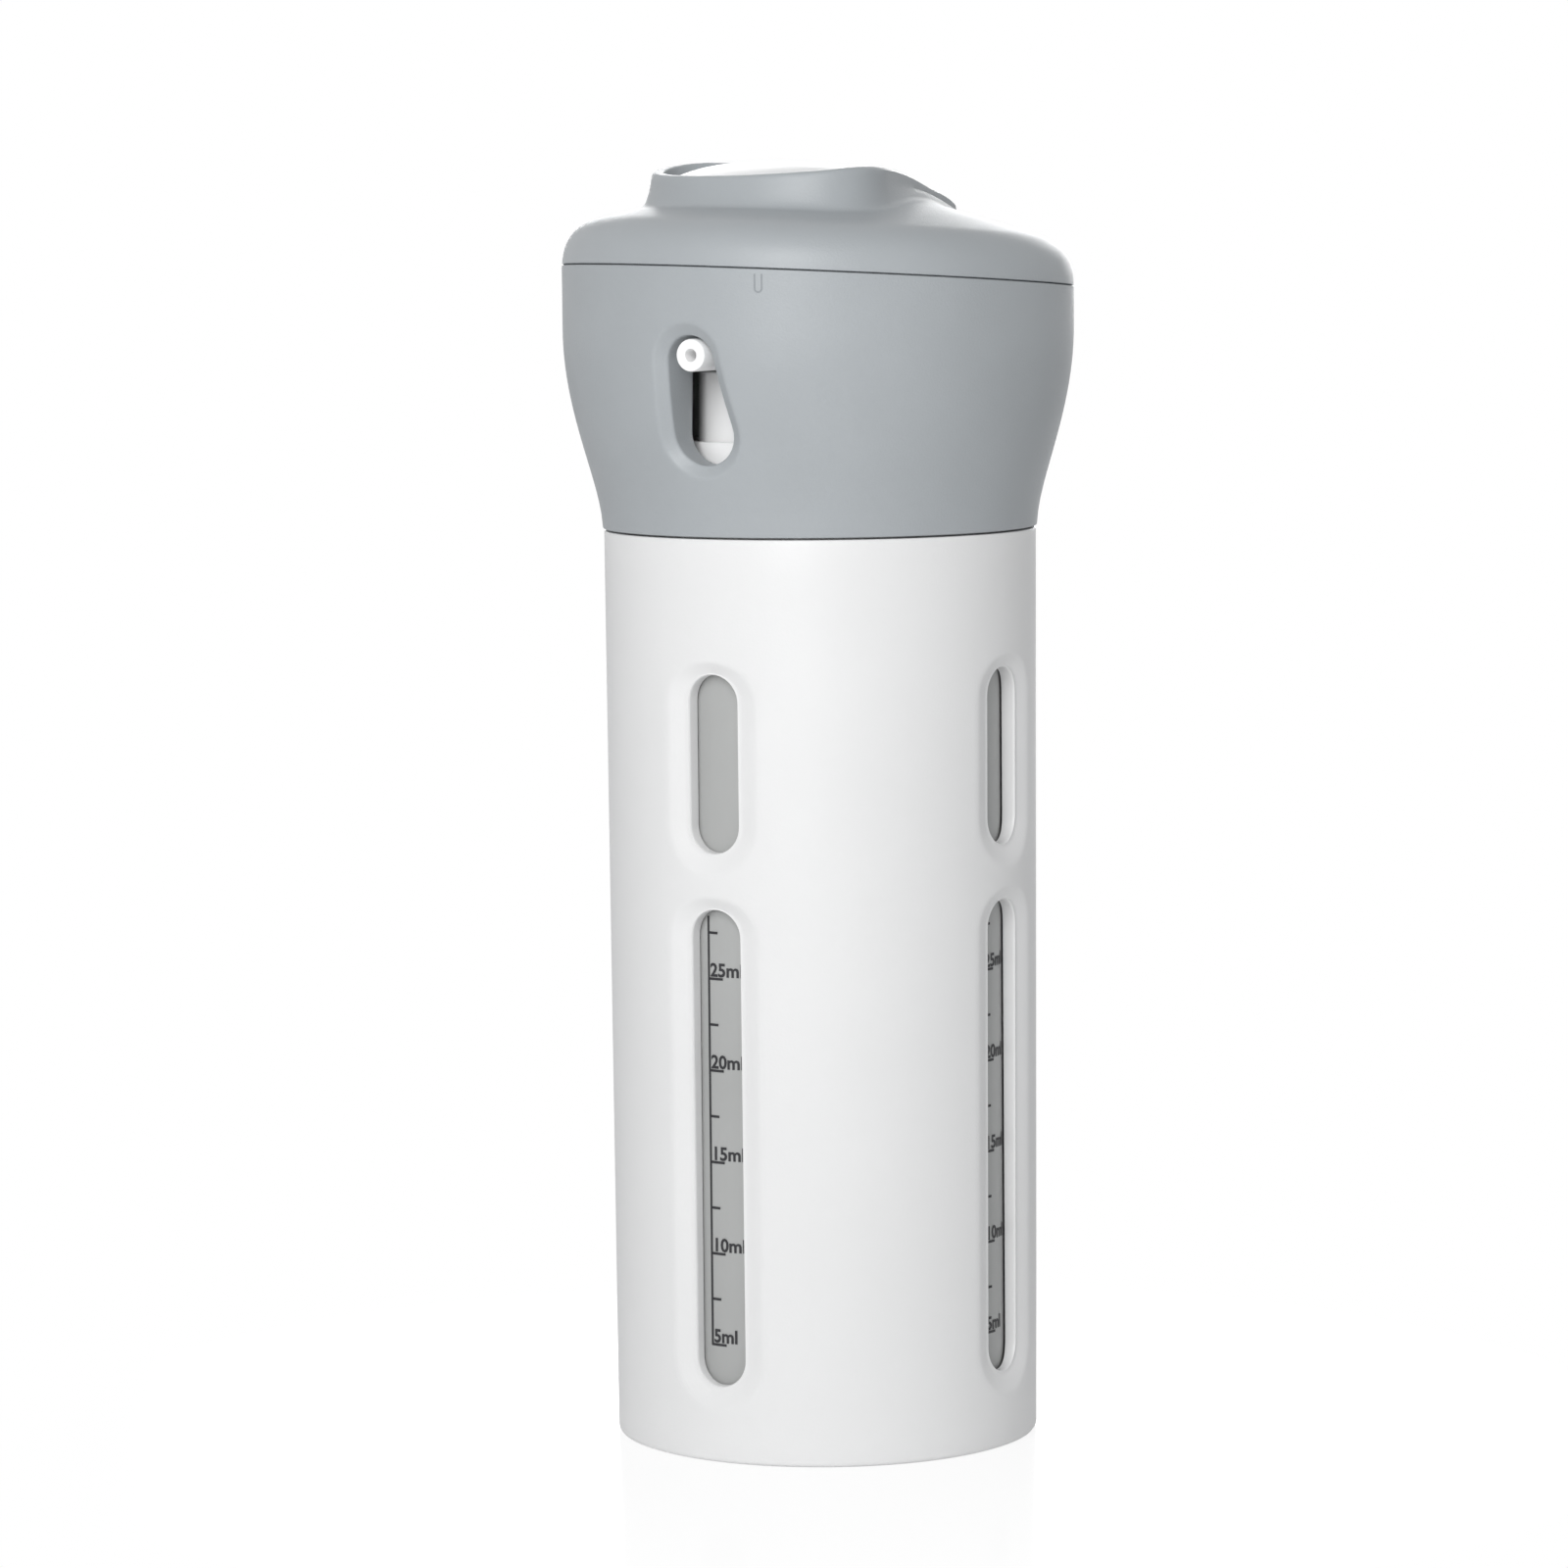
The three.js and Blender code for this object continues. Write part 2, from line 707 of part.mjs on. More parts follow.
function capSolid () {
  const edge = seamWidth / 2
  const shoulder = new THREE.CubicBezierCurve(
    new THREE.Vector2(headRadius, edge),
    new THREE.Vector2(headRadius, shoulderRise * 0.56),
    new THREE.Vector2(headRadius - shoulderRun * 0.36, shoulderRise * 0.86),
    new THREE.Vector2(headRadius - shoulderRun, shoulderRise)
  ).getPoints(curveSteps)
  const crease = headRadius - creaseRun
  const domeHeight = creaseRise + (crease - domeCentre) * domeSlope
  const spigot = headRadius - collarWall - spigotGap
  const spigotInner = spigot - spigotWall
  let body = capPlace(revolve([
    [0, domeHeight - capWall],
    [domeCentre - capWall / 4, domeHeight - capWall],
    [crease - capWall / 4, creaseRise - capWall],
    [headRadius - shoulderRun, shoulderRise - capWall],
    [spigotInner, shoulderRise * 0.4],
    [spigotInner, -spigotDepth],
    [spigot - gap, -spigotDepth],
    [spigot, -spigotDepth + gap],
    [spigot, edge],
    ...shoulder.map((point) => [point.x, point.y]),
    [crease, creaseRise],
    [domeCentre, domeHeight],
    [0, domeHeight]
  ], shellSides))
  const wideWell = wellInset - wellStep
  body = body.add(dropPrism(wideWell - guideWall, seamHeight - guideDepth, seamHeight + creaseRise - capWall / 2))
  body = body.add(capPlace(dropSolid()))
  body = body.subtract(dropPrism(wellInset, seamHeight - guideDepth - overcut, seamHeight + dropTop + overcut))
  return body.subtract(dropPrism(wideWell, seamHeight - guideDepth - overcut, shoulderHeight))
}

// Button: a crowned drop with a skirt, a flange that stops it and a socket for the spout's post
function buttonSolid () {
  const outline = wellInset + gap
  const flangeHigh = shoulderHeight - gap
  const flangeLow = flangeHigh - buttonFlange
  const crown = buttonCrown.map(([inset, rise]) => {
    return dropRing(outline + inset, (x, y) => waveAt(x, y) + rise)
  })
  let body = loft([dropRing(outline, () => flangeLow), ...crown])
  body = body.add(dropPrism(outline - wellStep, flangeLow, flangeHigh))
  const inner = outline + buttonWall
  body = body.subtract(loft([
    dropRing(inner, () => flangeLow - overcut),
    dropRing(inner, (x, y) => waveAt(x, y) - buttonTop - buttonWall)
  ]))
  const socketLength = postSocket + buttonTop + gap
  const boreLength = postSocket + overcut + gap
  const socket = rod(postRadius + gap + postWall, socketLength, closureSides)
  const bore = rod(postRadius + gap, boreLength, closureSides)
  const socketMiddle = postTop() - postSocket + socketLength / 2
  const boreMiddle = postTop() + gap - boreLength / 2
  body = body.add(socket.translate([0, -bottleCircle, socketMiddle]))
  return body.subtract(bore.translate([0, -bottleCircle, boreMiddle]))
}

// The post ends just below the button's plate, which is lowest at the round end
function postTop () {
  const roundEnd = dropRadius - wellInset - gap - buttonWall
  return waveAt(0, -roundEnd) - buttonTop - buttonWall - gap
}

// Spout: a plate over the pump, the post up to the button, and the tube out to the nozzle
function spoutSolid () {
  const plateTopHeight = spoutFoot + spoutPlate
  const length = headRadius - nozzleBack - bottleCircle
  let body = revolve([
    [0, spoutFoot],
    [spoutRadius - gap, spoutFoot],
    [spoutRadius, spoutFoot + gap],
    [spoutRadius, plateTopHeight],
    [postRadius + spoutNeck / 2, plateTopHeight + spoutNeck / 2],
    [postRadius, plateTopHeight + spoutNeck],
    [postRadius, postTop()],
    [0, postTop()]
  ], closureSides)
  const along = (radius, reach, sides) => {
    const tube = new THREE.CylinderGeometry(radius, radius, reach, sides)
    return turned(solid(tube.translate(0, -reach / 2, 0)), nozzleSwing).translate([0, 0, nozzleHeight])
  }
  body = body.add(along(nozzleRadius, length, windowSides))
  body = body.subtract(along(nozzleBore, length + overcut, pumpSides))
  const inlet = rod(outletRadius, nozzleHeight - spoutFoot + overcut, pumpSides)
  body = body.subtract(inlet.translate([0, 0, (nozzleHeight + spoutFoot - overcut) / 2]))
  return body.translate([0, -bottleCircle, 0])
}

// The whole dispenser

const dispenser = new THREE.Group()

function place (parent, name, body, material) {
  const mesh = new THREE.Mesh(geometryOf(body), material)
  mesh.name = name
  parent.add(mesh)
}

place(dispenser, 'outer_case', caseSolid(), whitePlastic)
place(dispenser, 'bottle_holder', holderSolid(), whitePlastic)

const bottleSet = [
  ['bottle', bottleSolid(), bottlePlastic],
  ['gasket', gasketSolid(), softRubber],
  ['pump_housing', housingSolid(), tubePlastic],
  ['pump_closure', closureSolid(), pumpPlastic],
  ['pump_actuator', actuatorSolid(), pumpPlastic],
  ['pump_piston', pistonSolid(), pumpPlastic],
  ['pump_spring', springSolid(), steel],
  ['inlet_ball', ballSolid(), steel],
  ['dip_tube', tubeSolid(), tubePlastic]
]
for (let i = 0; i < bottleCount; i++) {
  const turn = (i / bottleCount) * 2 * Math.PI
  const bay = new THREE.Group()
  bay.position.set(bottleCircle * Math.sin(turn), -bottleCircle * Math.cos(turn), 0)
  bay.rotation.z = turn
  for (const [name, body, material] of bottleSet) place(bay, `${name}_${i + 1}`, body, material)
  dispenser.add(bay)
}

place(dispenser, 'turn_ring', ringSolid(), greyPlastic)
place(dispenser, 'head_collar', collarSolid(), greyPlastic)
place(dispenser, 'head_cap', capSolid(), greyPlastic)
place(dispenser, 'push_button', buttonSolid(), whitePlastic)
place(dispenser, 'spout', spoutSolid(), whitePlastic)

export default dispenser
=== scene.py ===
# Looks of the travel dispenser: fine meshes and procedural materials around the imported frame.
# Sizes are in millimetres, as in the CAD source, and are turned into metres when a mesh is made.

import math

import bpy
import numpy as np
from mathutils import Matrix, Vector


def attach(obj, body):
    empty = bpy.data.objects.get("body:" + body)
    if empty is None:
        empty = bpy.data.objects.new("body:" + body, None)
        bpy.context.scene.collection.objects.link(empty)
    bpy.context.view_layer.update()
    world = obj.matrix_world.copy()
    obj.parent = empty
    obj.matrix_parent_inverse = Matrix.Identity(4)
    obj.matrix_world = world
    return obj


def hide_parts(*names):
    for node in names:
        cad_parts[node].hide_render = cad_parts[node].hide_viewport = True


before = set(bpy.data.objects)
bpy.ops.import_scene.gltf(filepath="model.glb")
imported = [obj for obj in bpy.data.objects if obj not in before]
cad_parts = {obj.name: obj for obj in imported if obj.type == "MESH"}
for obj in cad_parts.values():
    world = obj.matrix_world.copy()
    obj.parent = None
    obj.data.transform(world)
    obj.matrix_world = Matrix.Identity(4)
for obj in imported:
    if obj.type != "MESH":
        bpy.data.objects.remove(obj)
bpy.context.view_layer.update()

MM = 0.001
BAYS = 4
GAP = 0.3
ROUND_STEPS = 3

# Case
CASE_RADIUS = 33.96
CASE_HEIGHT = 143.4
CASE_DRAFT = 0.67
CASE_WALL = 2.35
CASE_EDGE = 0.9
FLOOR = 2.0
STAND_INNER = 27.29
STAND_HEIGHT = 0.8
NECK_BORE = 30.89
NECK_RADIUS = 31.79
NECK_TOP = 150.0
SLOT_WIDTH = 8.5
SLOTS = ((11.9, 86.2), (95.0, 122.5))
SLOT_PATCHES = ((6.4, 90.0), (90.0, 126.6))
PATCH_HALF_ANGLE = 15.5
PATCH_COLUMNS = 14
PLAIN_COLUMNS = 22
SCOOP_DEPTH = 1.15
SCOOP_SIDE = 3.5
SCOOP_LOW = 3.4
SCOOP_HIGH = 2.0

# Slots: shares of the surround's width and depth, then distance from the outline and depth
SCOOP_STEPS = ((1.3, 0.0), (1.12, 0.015), (1.0, 0.07), (0.86, 0.2), (0.6, 0.5), (0.3, 0.85), (0.14, 1.0))
SLOT_LIP = ((0.16, 1.10), (0.05, 1.24), (0.0, 1.5))
RIM_GAP = 0.32
RIM_WIDTH = 0.9
RIM_FOOT = 1.2

# Ledges that carry the holder
PAD_HALF_WIDTH = 4
PAD_INNER = 26.6
PAD_OUTER = 31.7
PAD_TOP = 135.2
PAD_INNER_FOOT = 134.4
PAD_OUTER_FOOT = 131.2

# Bottle and pump, on the bottle's own axis
BOTTLE_CIRCLE = 18.288
BOTTLE_FOOT = 2.3
BOTTLE_RADIUS = 12.3
BOTTLE_WALL = 1.75
BOTTLE_TOP = 150.5
BOTTLE_BODY_TOP = 139.0
BOTTLE_NECK_FOOT = 144.6
BOTTLE_NECK = 7.5
CLOSURE_FOOT = 145.2
CLOSURE_TOP = 158.0
CLOSURE_CROWN = 154.0
ACTUATOR_FOOT = 157.3
ACTUATOR_TOP = 168.7
ACTUATOR_UNDER = 167.5
PISTON_FOOT = 149.9
STEM_TOP = 167.2
HOUSING_FOOT = 124.0
HOUSING_TOP = 152.7
TUBE_FOOT = 6.2
TUBE_TOP = 129.2
TUBE_RADIUS = 1.6
TUBE_BORE = 0.9

# Printed scale: height of its zero, height for each millilitre, and its lines
SCALE_ZERO = 3.7
SCALE_STEP = 2.863
SCALE_LINE = -2.55
SCALE_TOP = 28.4
HALF_STROKE = 0.2
LONG_TICK = 2.7
SHORT_TICK = 1.8
FIGURE_SIZE = 2.9
FIGURE_BOLD = 0.08
FIGURE_WIDTH = 1.02
PRINT_LIFT = 0.07

# Head
RING_BORE = 32.09
RING_RADIUS = 32.89
RING_BEAD = 33.29
COLLAR_LIP = 33.19
BEAD_ROOM = 33.59
COLLAR_FOOT = 34.15
COLLAR_FOOT_HEIGHT = 143.7
COLLAR_LIP_TOP = 146.7
BEAD_ROOM_FOOT = 147.1
BEAD_ROOM_TOP = 152.1
COLLAR_RIB_TOP = 153.6
COLLAR_INNER_FOOT = 153.9
COLLAR_COLUMNS = 120
FLARE_FOOT_OUT = 0.19
FLARE_FOOT_PULL = 7.3
FLARE_TOP_PULL = 21.5
FLARE_TOP_DROP = 8
RING_SHELF = 150.3
RING_TOP = 151.8
HEAD_RADIUS = 40.1
COLLAR_WALL = 2.0
SEAM_HEIGHT = 182.96
SEAM_WIDTH = 0.12
CAP_TILT = math.radians(3.45)
CAP_TURN = math.radians(-24.8)
NOZZLE_HEIGHT = 171.6
NOZZLE_RADIUS = 2.5
NOZZLE_BORE = 0.95
NOZZLE_SWING = math.radians(1.8)
NOZZLE_SETBACK = 1.1
NOZZLE_DEPTH = 9.0
PLATE_FOOT = 169.0
POST_RADIUS = 3.5
POST_DROP = 3.8
STROKE = 10.4
WINDOW_TOP_ASIDE = 0.2
WINDOW_TOP_DROP = 1.0
WINDOW_TOP_RADIUS = 4.0
WINDOW_FOOT_ASIDE = 1.1
WINDOW_FOOT_DROP = 1.3
WINDOW_FOOT_RADIUS = 5.15
WINDOW_HALF_ANGLE = 15.0
WINDOW_PATCH = (150.2, 178.4)
WINDOW_COLUMNS = 16
WINDOW_ROWS = 18
CHUTE_WALL = 1.0
CHUTE_END = 31.2

# Window's bevel: distance from the outline and share of the depth
BEVEL_DEPTH = 1.45
BEVEL_STEPS = ((2.5, 0.0), (2.1, 0.015), (1.85, 0.07), (1.6, 0.19), (1.0, 0.55))
BEVEL_STEPS += ((0.4, 0.88), (0.16, 1.0), (0.04, 1.14), (0.0, 1.35))

# Small darker grey U below the seam
MARK_AZIMUTH = math.radians(17.9)
MARK_TOP = 183.9
MARK_FOOT = 181.7
MARK_HALF_WIDTH = 0.55
MARK_HALF_STROKE = 0.14
MARK_LIFT = 0.03

# Cap and button
CREASE_RADIUS = 31.5
CREASE_RISE = 8.45
CREASE_INNER = 30.8
DOME_SLOPE = 0.256
DROP_RADIUS = 27.3
DROP_TAIL = 27.5
DROP_CORNER = math.radians(73.5)
CORNER_ROUND = 10.0
TAIL_ROUND = 2.5
DROP_TAPER = 0.128
LEAN_START = 9.0
WALL_START = 1.1

# Top of the rim: share of the way to the well and drop below the wave
RIM_STEPS = ((0.06, 0.2), (0.16, 0.05), (0.3, 0.0), (0.7, 0.0), (0.88, 0.04), (0.97, 0.16), (1.0, 0.4))

# Wave: place along the cap towards the tail and height over the seam's plane
WAVE_LEAN = math.tan(math.radians(1.2))
WAVE = ((-32, 13.4), (-26, 14.1), (-16, 15.6), (-6, 17.0))
WAVE += ((4, 16.7), (15, 14.9), (24, 13.1), (30, 10.4))

# Well, guide and spigot
WELL_INSET = 3.3
WELL_STEP = 1.0
GUIDE_WALL = 1.3
CAP_WALL = 2.0
SPIGOT_GAP = 0.6
SPIGOT_WALL = 1.3
SPIGOT_DEPTH = 4.0
SHOULDER_HEIGHT = 185.96
GUIDE_FOOT = 176.46
INSET_STEP = 0.25
INSET_COUNT = 12

# Button: its crown by inset from the outline and rise over the wave
FLANGE_THICKNESS = 2.5
BUTTON_WALL = 1.5
BUTTON_THICKNESS = 3.5
CROWN_STEPS = ((0.0, -2.1), (0.12, -1.8), (0.4, -1.55), (0.9, -1.35), (1.8, -1.05))
CROWN_STEPS += ((3.2, -0.65), (5.0, -0.25), (7.0, 0.05), (9.5, 0.27), (12.0, 0.38))
CROWN_RISE = 0.45
CROWN_SHARE = 0.45

# Stage, in metres, with the floor's and the world's levels
AMBIENT = 0.33
FLOOR_GLOW = 0.93
FLOOR_SHADOW = 0.1
FLOOR_GLOSS = 0.07
FLOOR_COLOUR = 0.85
FLOOR_BOUNCE = 0.12
FLOOR_REACH = 3.0
FADE_START = 0.04
FADE_END = 0.13
AIM_HEIGHT = 0.11
CAMERA_LENS = 140.5
CAMERA_SHIFT = -0.0013
CAMERA_PLACE = (0.4938, -0.8264, 0.1977)
CAMERA_HEADING = math.radians(31.2)
CAMERA_PITCH = math.radians(-5.624)
CAMERA_ROLL = math.radians(-0.537)


# Meshes

def make_object(name, surface, material, body, nodes=(), sharp=32.0):
    """A mesh in metres that rides on a body and stands for the named CAD nodes."""
    points, faces = surface
    metres = [(p[0] * MM, p[1] * MM, p[2] * MM) for p in points]
    mesh = bpy.data.meshes.new(name)
    mesh.from_pydata(metres, [], [list(f) for f in faces])
    mesh.validate()
    mesh.update()
    for polygon in mesh.polygons:
        polygon.use_smooth = True
    mesh.set_sharp_from_angle(angle=math.radians(sharp))
    mesh.materials.append(material)
    piece = bpy.data.objects.new(name, mesh)
    bpy.context.scene.collection.objects.link(piece)
    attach(piece, body)
    if nodes:
        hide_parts(*nodes)


class Builder:
    """Collects points and faces, so that several surfaces make one closed mesh."""

    def __init__(self):
        self.points = []
        self.faces = []

    def ring(self, points):
        """Adds points and returns their indices."""
        start = len(self.points)
        self.points.extend([tuple(float(c) for c in p) for p in points])
        return list(range(start, start + len(points)))

    def bridge(self, low, high):
        """Joins two closed rings by a band of faces."""
        count = len(low)
        for i in range(count):
            j = (i + 1) % count
            self.faces.append((low[i], low[j], high[j], high[i]))

    def chain(self, rings):
        for low, high in zip(rings, rings[1:]):
            self.bridge(low, high)

    def grow(self, ring, points):
        """Adds a ring of points, joins it to the one before and returns it."""
        further = self.ring(points)
        self.bridge(ring, further)
        return further

    def sheet(self, grid, in_hole, flip=False):
        """Joins the rows of a closed sheet, but leaves its holes open."""
        columns = len(grid[0])
        for r in range(len(grid) - 1):
            for c in range(columns):
                if in_hole(r, c):
                    continue
                n = (c + 1) % columns
                quad = (grid[r][c], grid[r][n], grid[r + 1][n], grid[r + 1][c])
                self.faces.append(quad[::-1] if flip else quad)

    def add(self, points, faces):
        """Adds a mesh that is complete in itself."""
        start = len(self.points)
        self.points += points
        self.faces += [tuple(i + start for i in face) for face in faces]

    def close(self, ring, up):
        """Fills a ring with a fan round its middle."""
        middle = np.mean([self.points[i] for i in ring], axis=0)
        centre = self.ring([middle])[0]
        count = len(ring)
        for i in range(count):
            j = (i + 1) % count
            self.faces.append((ring[i], ring[j], centre) if up else (ring[j], ring[i], centre))


def circle(radius, height, angles):
    """Points of a level ring. Angle 0 is the front, towards -Y, and angles grow towards +X."""
    return [(radius * math.sin(a), -radius * math.cos(a), height) for a in angles]


def fan(low, high, count):
    """Even steps from low to high, with both ends."""
    return [low + (high - low) * i / count for i in range(count + 1)]


def even_angles(count):
    return [2 * math.pi * i / count for i in range(count)]


def hole_loop(low, high, first, last):
    """Row and column of each point round a hole's patch, from its low first corner."""
    loop = [(low, c) for c in range(first, last)]
    loop += [(r, last) for r in range(low, high)]
    loop += [(high, c) for c in range(last, first, -1)]
    loop += [(r, first) for r in range(high, low, -1)]
    return loop


def lathe(profile, sides):
    """Points and faces of a turned solid. The profile lists radius and height, foot outside first."""
    builder = Builder()
    angles = even_angles(sides)
    on_axis = False
    rings = []
    for radius, height in profile:
        if radius < 1e-6:
            on_axis = True
            rings.append(builder.ring([(0, 0, height)]) * sides)
        else:
            rings.append(builder.ring(circle(radius, height, angles)))
    for low, high in zip(rings, rings[1:]):
        for i in range(sides):
            j = (i + 1) % sides
            corners = []
            for corner in (low[i], low[j], high[j], high[i]):
                if corner not in corners:
                    corners.append(corner)
            if len(corners) > 2:
                builder.faces.append(tuple(corners))
    if profile[0] != profile[-1] and not on_axis:
        builder.bridge(rings[-1], rings[0])
    return builder.points, builder.faces


def rounded(profile, radius):
    """Rounds the corners of a profile by short curves, apart from the two ends of an open one."""
    closed = profile[0] == profile[-1]
    points = profile[:-1] if closed else profile
    result = []
    count = len(points)
    for i, point in enumerate(points):
        if not closed and i in (0, count - 1):
            result.append(point)
            continue
        before = Vector(points[i - 1])
        after = Vector(points[(i + 1) % count])
        here = Vector(point)
        back = before - here
        ahead = after - here
        turn = back.angle(ahead, math.pi) if back.length and ahead.length else math.pi
        if turn > math.radians(170) or here.x < 1e-6:
            result.append(point)
            continue
        reach = min(radius, back.length * 0.4, ahead.length * 0.4)
        start = here + back.normalized() * reach
        end = here + ahead.normalized() * reach
        for t in fan(0, 1, ROUND_STEPS):
            bend = (1 - t) ** 2 * start + 2 * t * (1 - t) * here + t * t * end
            result.append((bend.x, bend.y))
    if closed:
        result.append(result[0])
    return result


def bay_matrix(index):
    """The place of a bottle's own axis."""
    turn = Matrix.Rotation(index * 2 * math.pi / BAYS, 4, "Z")
    return turn @ Matrix.Translation((0, -BOTTLE_CIRCLE, 0))


def moved(points, matrix):
    return [tuple(matrix @ Vector(p)) for p in points]


# Materials

def new_material(name):
    material = bpy.data.materials.new(name)
    material.use_nodes = True
    return material, material.node_tree.nodes, material.node_tree.links


def plastic(name, colour, roughness, grain, grain_size, tone=0.03):
    """Moulded plastic: a fine grain, a faint cloudy tone and a roughness that varies a little."""
    material, nodes, links = new_material(name)
    shader = nodes["Principled BSDF"]
    shader.inputs["IOR"].default_value = 1.46
    place = nodes.new("ShaderNodeTexCoord")
    cloud = nodes.new("ShaderNodeTexNoise")
    cloud.inputs["Scale"].default_value = 45.0
    cloud.inputs["Detail"].default_value = 3.0
    links.new(place.outputs["Object"], cloud.inputs["Vector"])
    ramp = nodes.new("ShaderNodeValToRGB")
    low = [c * (1 - tone) for c in colour]
    high = [min(1.0, c * (1 + tone)) for c in colour]
    ramp.color_ramp.elements[0].position = 0.3
    ramp.color_ramp.elements[0].color = (*low, 1)
    ramp.color_ramp.elements[1].position = 0.7
    ramp.color_ramp.elements[1].color = (*high, 1)
    links.new(cloud.outputs["Fac"], ramp.inputs["Fac"])
    links.new(ramp.outputs["Color"], shader.inputs["Base Color"])
    fine = nodes.new("ShaderNodeTexNoise")
    fine.inputs["Scale"].default_value = grain_size
    fine.inputs["Detail"].default_value = 4.0
    links.new(place.outputs["Object"], fine.inputs["Vector"])
    gloss = nodes.new("ShaderNodeMapRange")
    gloss.inputs["To Min"].default_value = roughness - 0.04
    gloss.inputs["To Max"].default_value = roughness + 0.05
    links.new(fine.outputs["Fac"], gloss.inputs["Value"])
    links.new(gloss.outputs["Result"], shader.inputs["Roughness"])
    bump = nodes.new("ShaderNodeBump")
    bump.inputs["Strength"].default_value = grain
    bump.inputs["Distance"].default_value = 0.00012
    links.new(fine.outputs["Fac"], bump.inputs["Height"])
    links.new(bump.outputs["Normal"], shader.inputs["Normal"])
    return material


def metal(name, colour, roughness):
    """Bare metal whose roughness varies a little."""
    material, nodes, links = new_material(name)
    shader = nodes["Principled BSDF"]
    shader.inputs["Base Color"].default_value = (*colour, 1)
    shader.inputs["Metallic"].default_value = 1.0
    noise = nodes.new("ShaderNodeTexNoise")
    noise.inputs["Scale"].default_value = 900.0
    gloss = nodes.new("ShaderNodeMapRange")
    gloss.inputs["To Min"].default_value = roughness - 0.05
    gloss.inputs["To Max"].default_value = roughness + 0.1
    links.new(noise.outputs["Fac"], gloss.inputs["Value"])
    links.new(gloss.outputs["Result"], shader.inputs["Roughness"])
    return material


GREY = plastic("head_grey", (0.372, 0.395, 0.412), 0.42, 0.30, 2600.0)
WHITE = plastic("case_white", (0.775, 0.775, 0.775), 0.38, 0.16, 2600.0, tone=0.01)
BOTTLE = plastic("bottle_frosted", (0.40, 0.405, 0.40), 0.32, 0.12, 1500.0, tone=0.03)
BUTTON = plastic("button_white", (0.93, 0.93, 0.93), 0.38, 0.16, 2600.0, tone=0.01)
PUMP = plastic("pump_white", (0.93, 0.93, 0.93), 0.25, 0.08, 2000.0, tone=0.01)
NATURAL = plastic("pump_natural", (0.74, 0.76, 0.76), 0.28, 0.08, 2000.0, tone=0.02)
SEAL = plastic("seal_rubber", (0.55, 0.55, 0.52), 0.75, 0.3, 1500.0)
MARK = plastic("mark_grey", (0.27, 0.29, 0.305), 0.5, 0.30, 2600.0)
INK = plastic("scale_ink", (0.025, 0.025, 0.028), 0.5, 0.1, 2000.0)
STEEL = metal("spring_steel", (0.60, 0.61, 0.62), 0.25)


# Case

def case_radius_at(height):
    base = CASE_RADIUS - CASE_DRAFT
    return base + CASE_DRAFT * (height - CASE_EDGE) / (CASE_HEIGHT - GAP - CASE_EDGE)


def bay_angles():
    """Column angles of the case: fine and even, with lines on the edges of the slots' patches."""
    inner = fan(-PATCH_HALF_ANGLE, PATCH_HALF_ANGLE, PATCH_COLUMNS)
    outer = fan(PATCH_HALF_ANGLE, 90 - PATCH_HALF_ANGLE, PLAIN_COLUMNS)[1:-1]
    angles = []
    for bay in range(BAYS):
        angles.extend([math.radians(bay * 90 + a) for a in inner])
        angles.extend([math.radians(bay * 90 + a) for a in outer])
    return angles, len(inner)


def patch_heights(low, high, first, last):
    """Rows of a slot's patch: fine round its two ends, wider between them."""
    ends = SLOT_WIDTH / 2
    rows = fan(low, first + ends, 7)
    middle = max(2, round((last - first - 2 * ends) / 6))
    rows += fan(first + ends, last - ends, middle)[1:]
    rows += fan(last - ends, high, 6)[1:]
    return rows


def case_rows():
    """Heights of the case's rows, and the first and last row of each slot's patch."""
    rows = [CASE_EDGE, 3.5, SLOT_PATCHES[0][0]]
    spans = []
    for (low, high), slot in zip(SLOT_PATCHES, SLOTS):
        start = len(rows) - 1
        rows += patch_heights(low, high, *slot)[1:]
        spans.append((start, len(rows) - 1))
    return rows + [131.0, 137.0, CASE_HEIGHT - GAP], spans


def slot_point(slot, x, z, offset):
    """The point off a slot's outline that is nearest to a place, and how far it lies up or down."""
    half = SLOT_WIDTH / 2
    centre = min(max(z, slot[0] + half), slot[1] - half)
    dx, dz = x, z - centre
    length = math.hypot(dx, dz)
    reach = half + offset
    return dx / length * reach, centre + dz / length * reach, dz / length


def scoop_reach(lean):
    """Width of a slot's dished surround: one size at the sides, others above and below."""
    if lean > 0:
        return SCOOP_SIDE + (SCOOP_HIGH - SCOOP_SIDE) * lean * lean
    return SCOOP_SIDE + (SCOOP_LOW - SCOOP_SIDE) * lean * lean


def turned(x, y, z, turn):
    return (x * math.cos(turn) - y * math.sin(turn), x * math.sin(turn) + y * math.cos(turn), z)


def on_case(x, z, depth, turn):
    """A point at a depth below the case's face, in the bay at a turn."""
    radius = case_radius_at(z) - depth
    return turned(x, -math.sqrt(radius * radius - x * x), z, turn)


def on_rim(x, z, turn):
    """A point of the low rim inside a slot. It follows the bottle's front, or the wall behind it."""
    wall = math.sqrt((case_radius_at(z) - CASE_WALL) ** 2 - x * x)
    bottle = BOTTLE_CIRCLE + math.sqrt(BOTTLE_RADIUS ** 2 - x * x)
    return turned(x, -min(wall, bottle + RIM_GAP), z, turn)


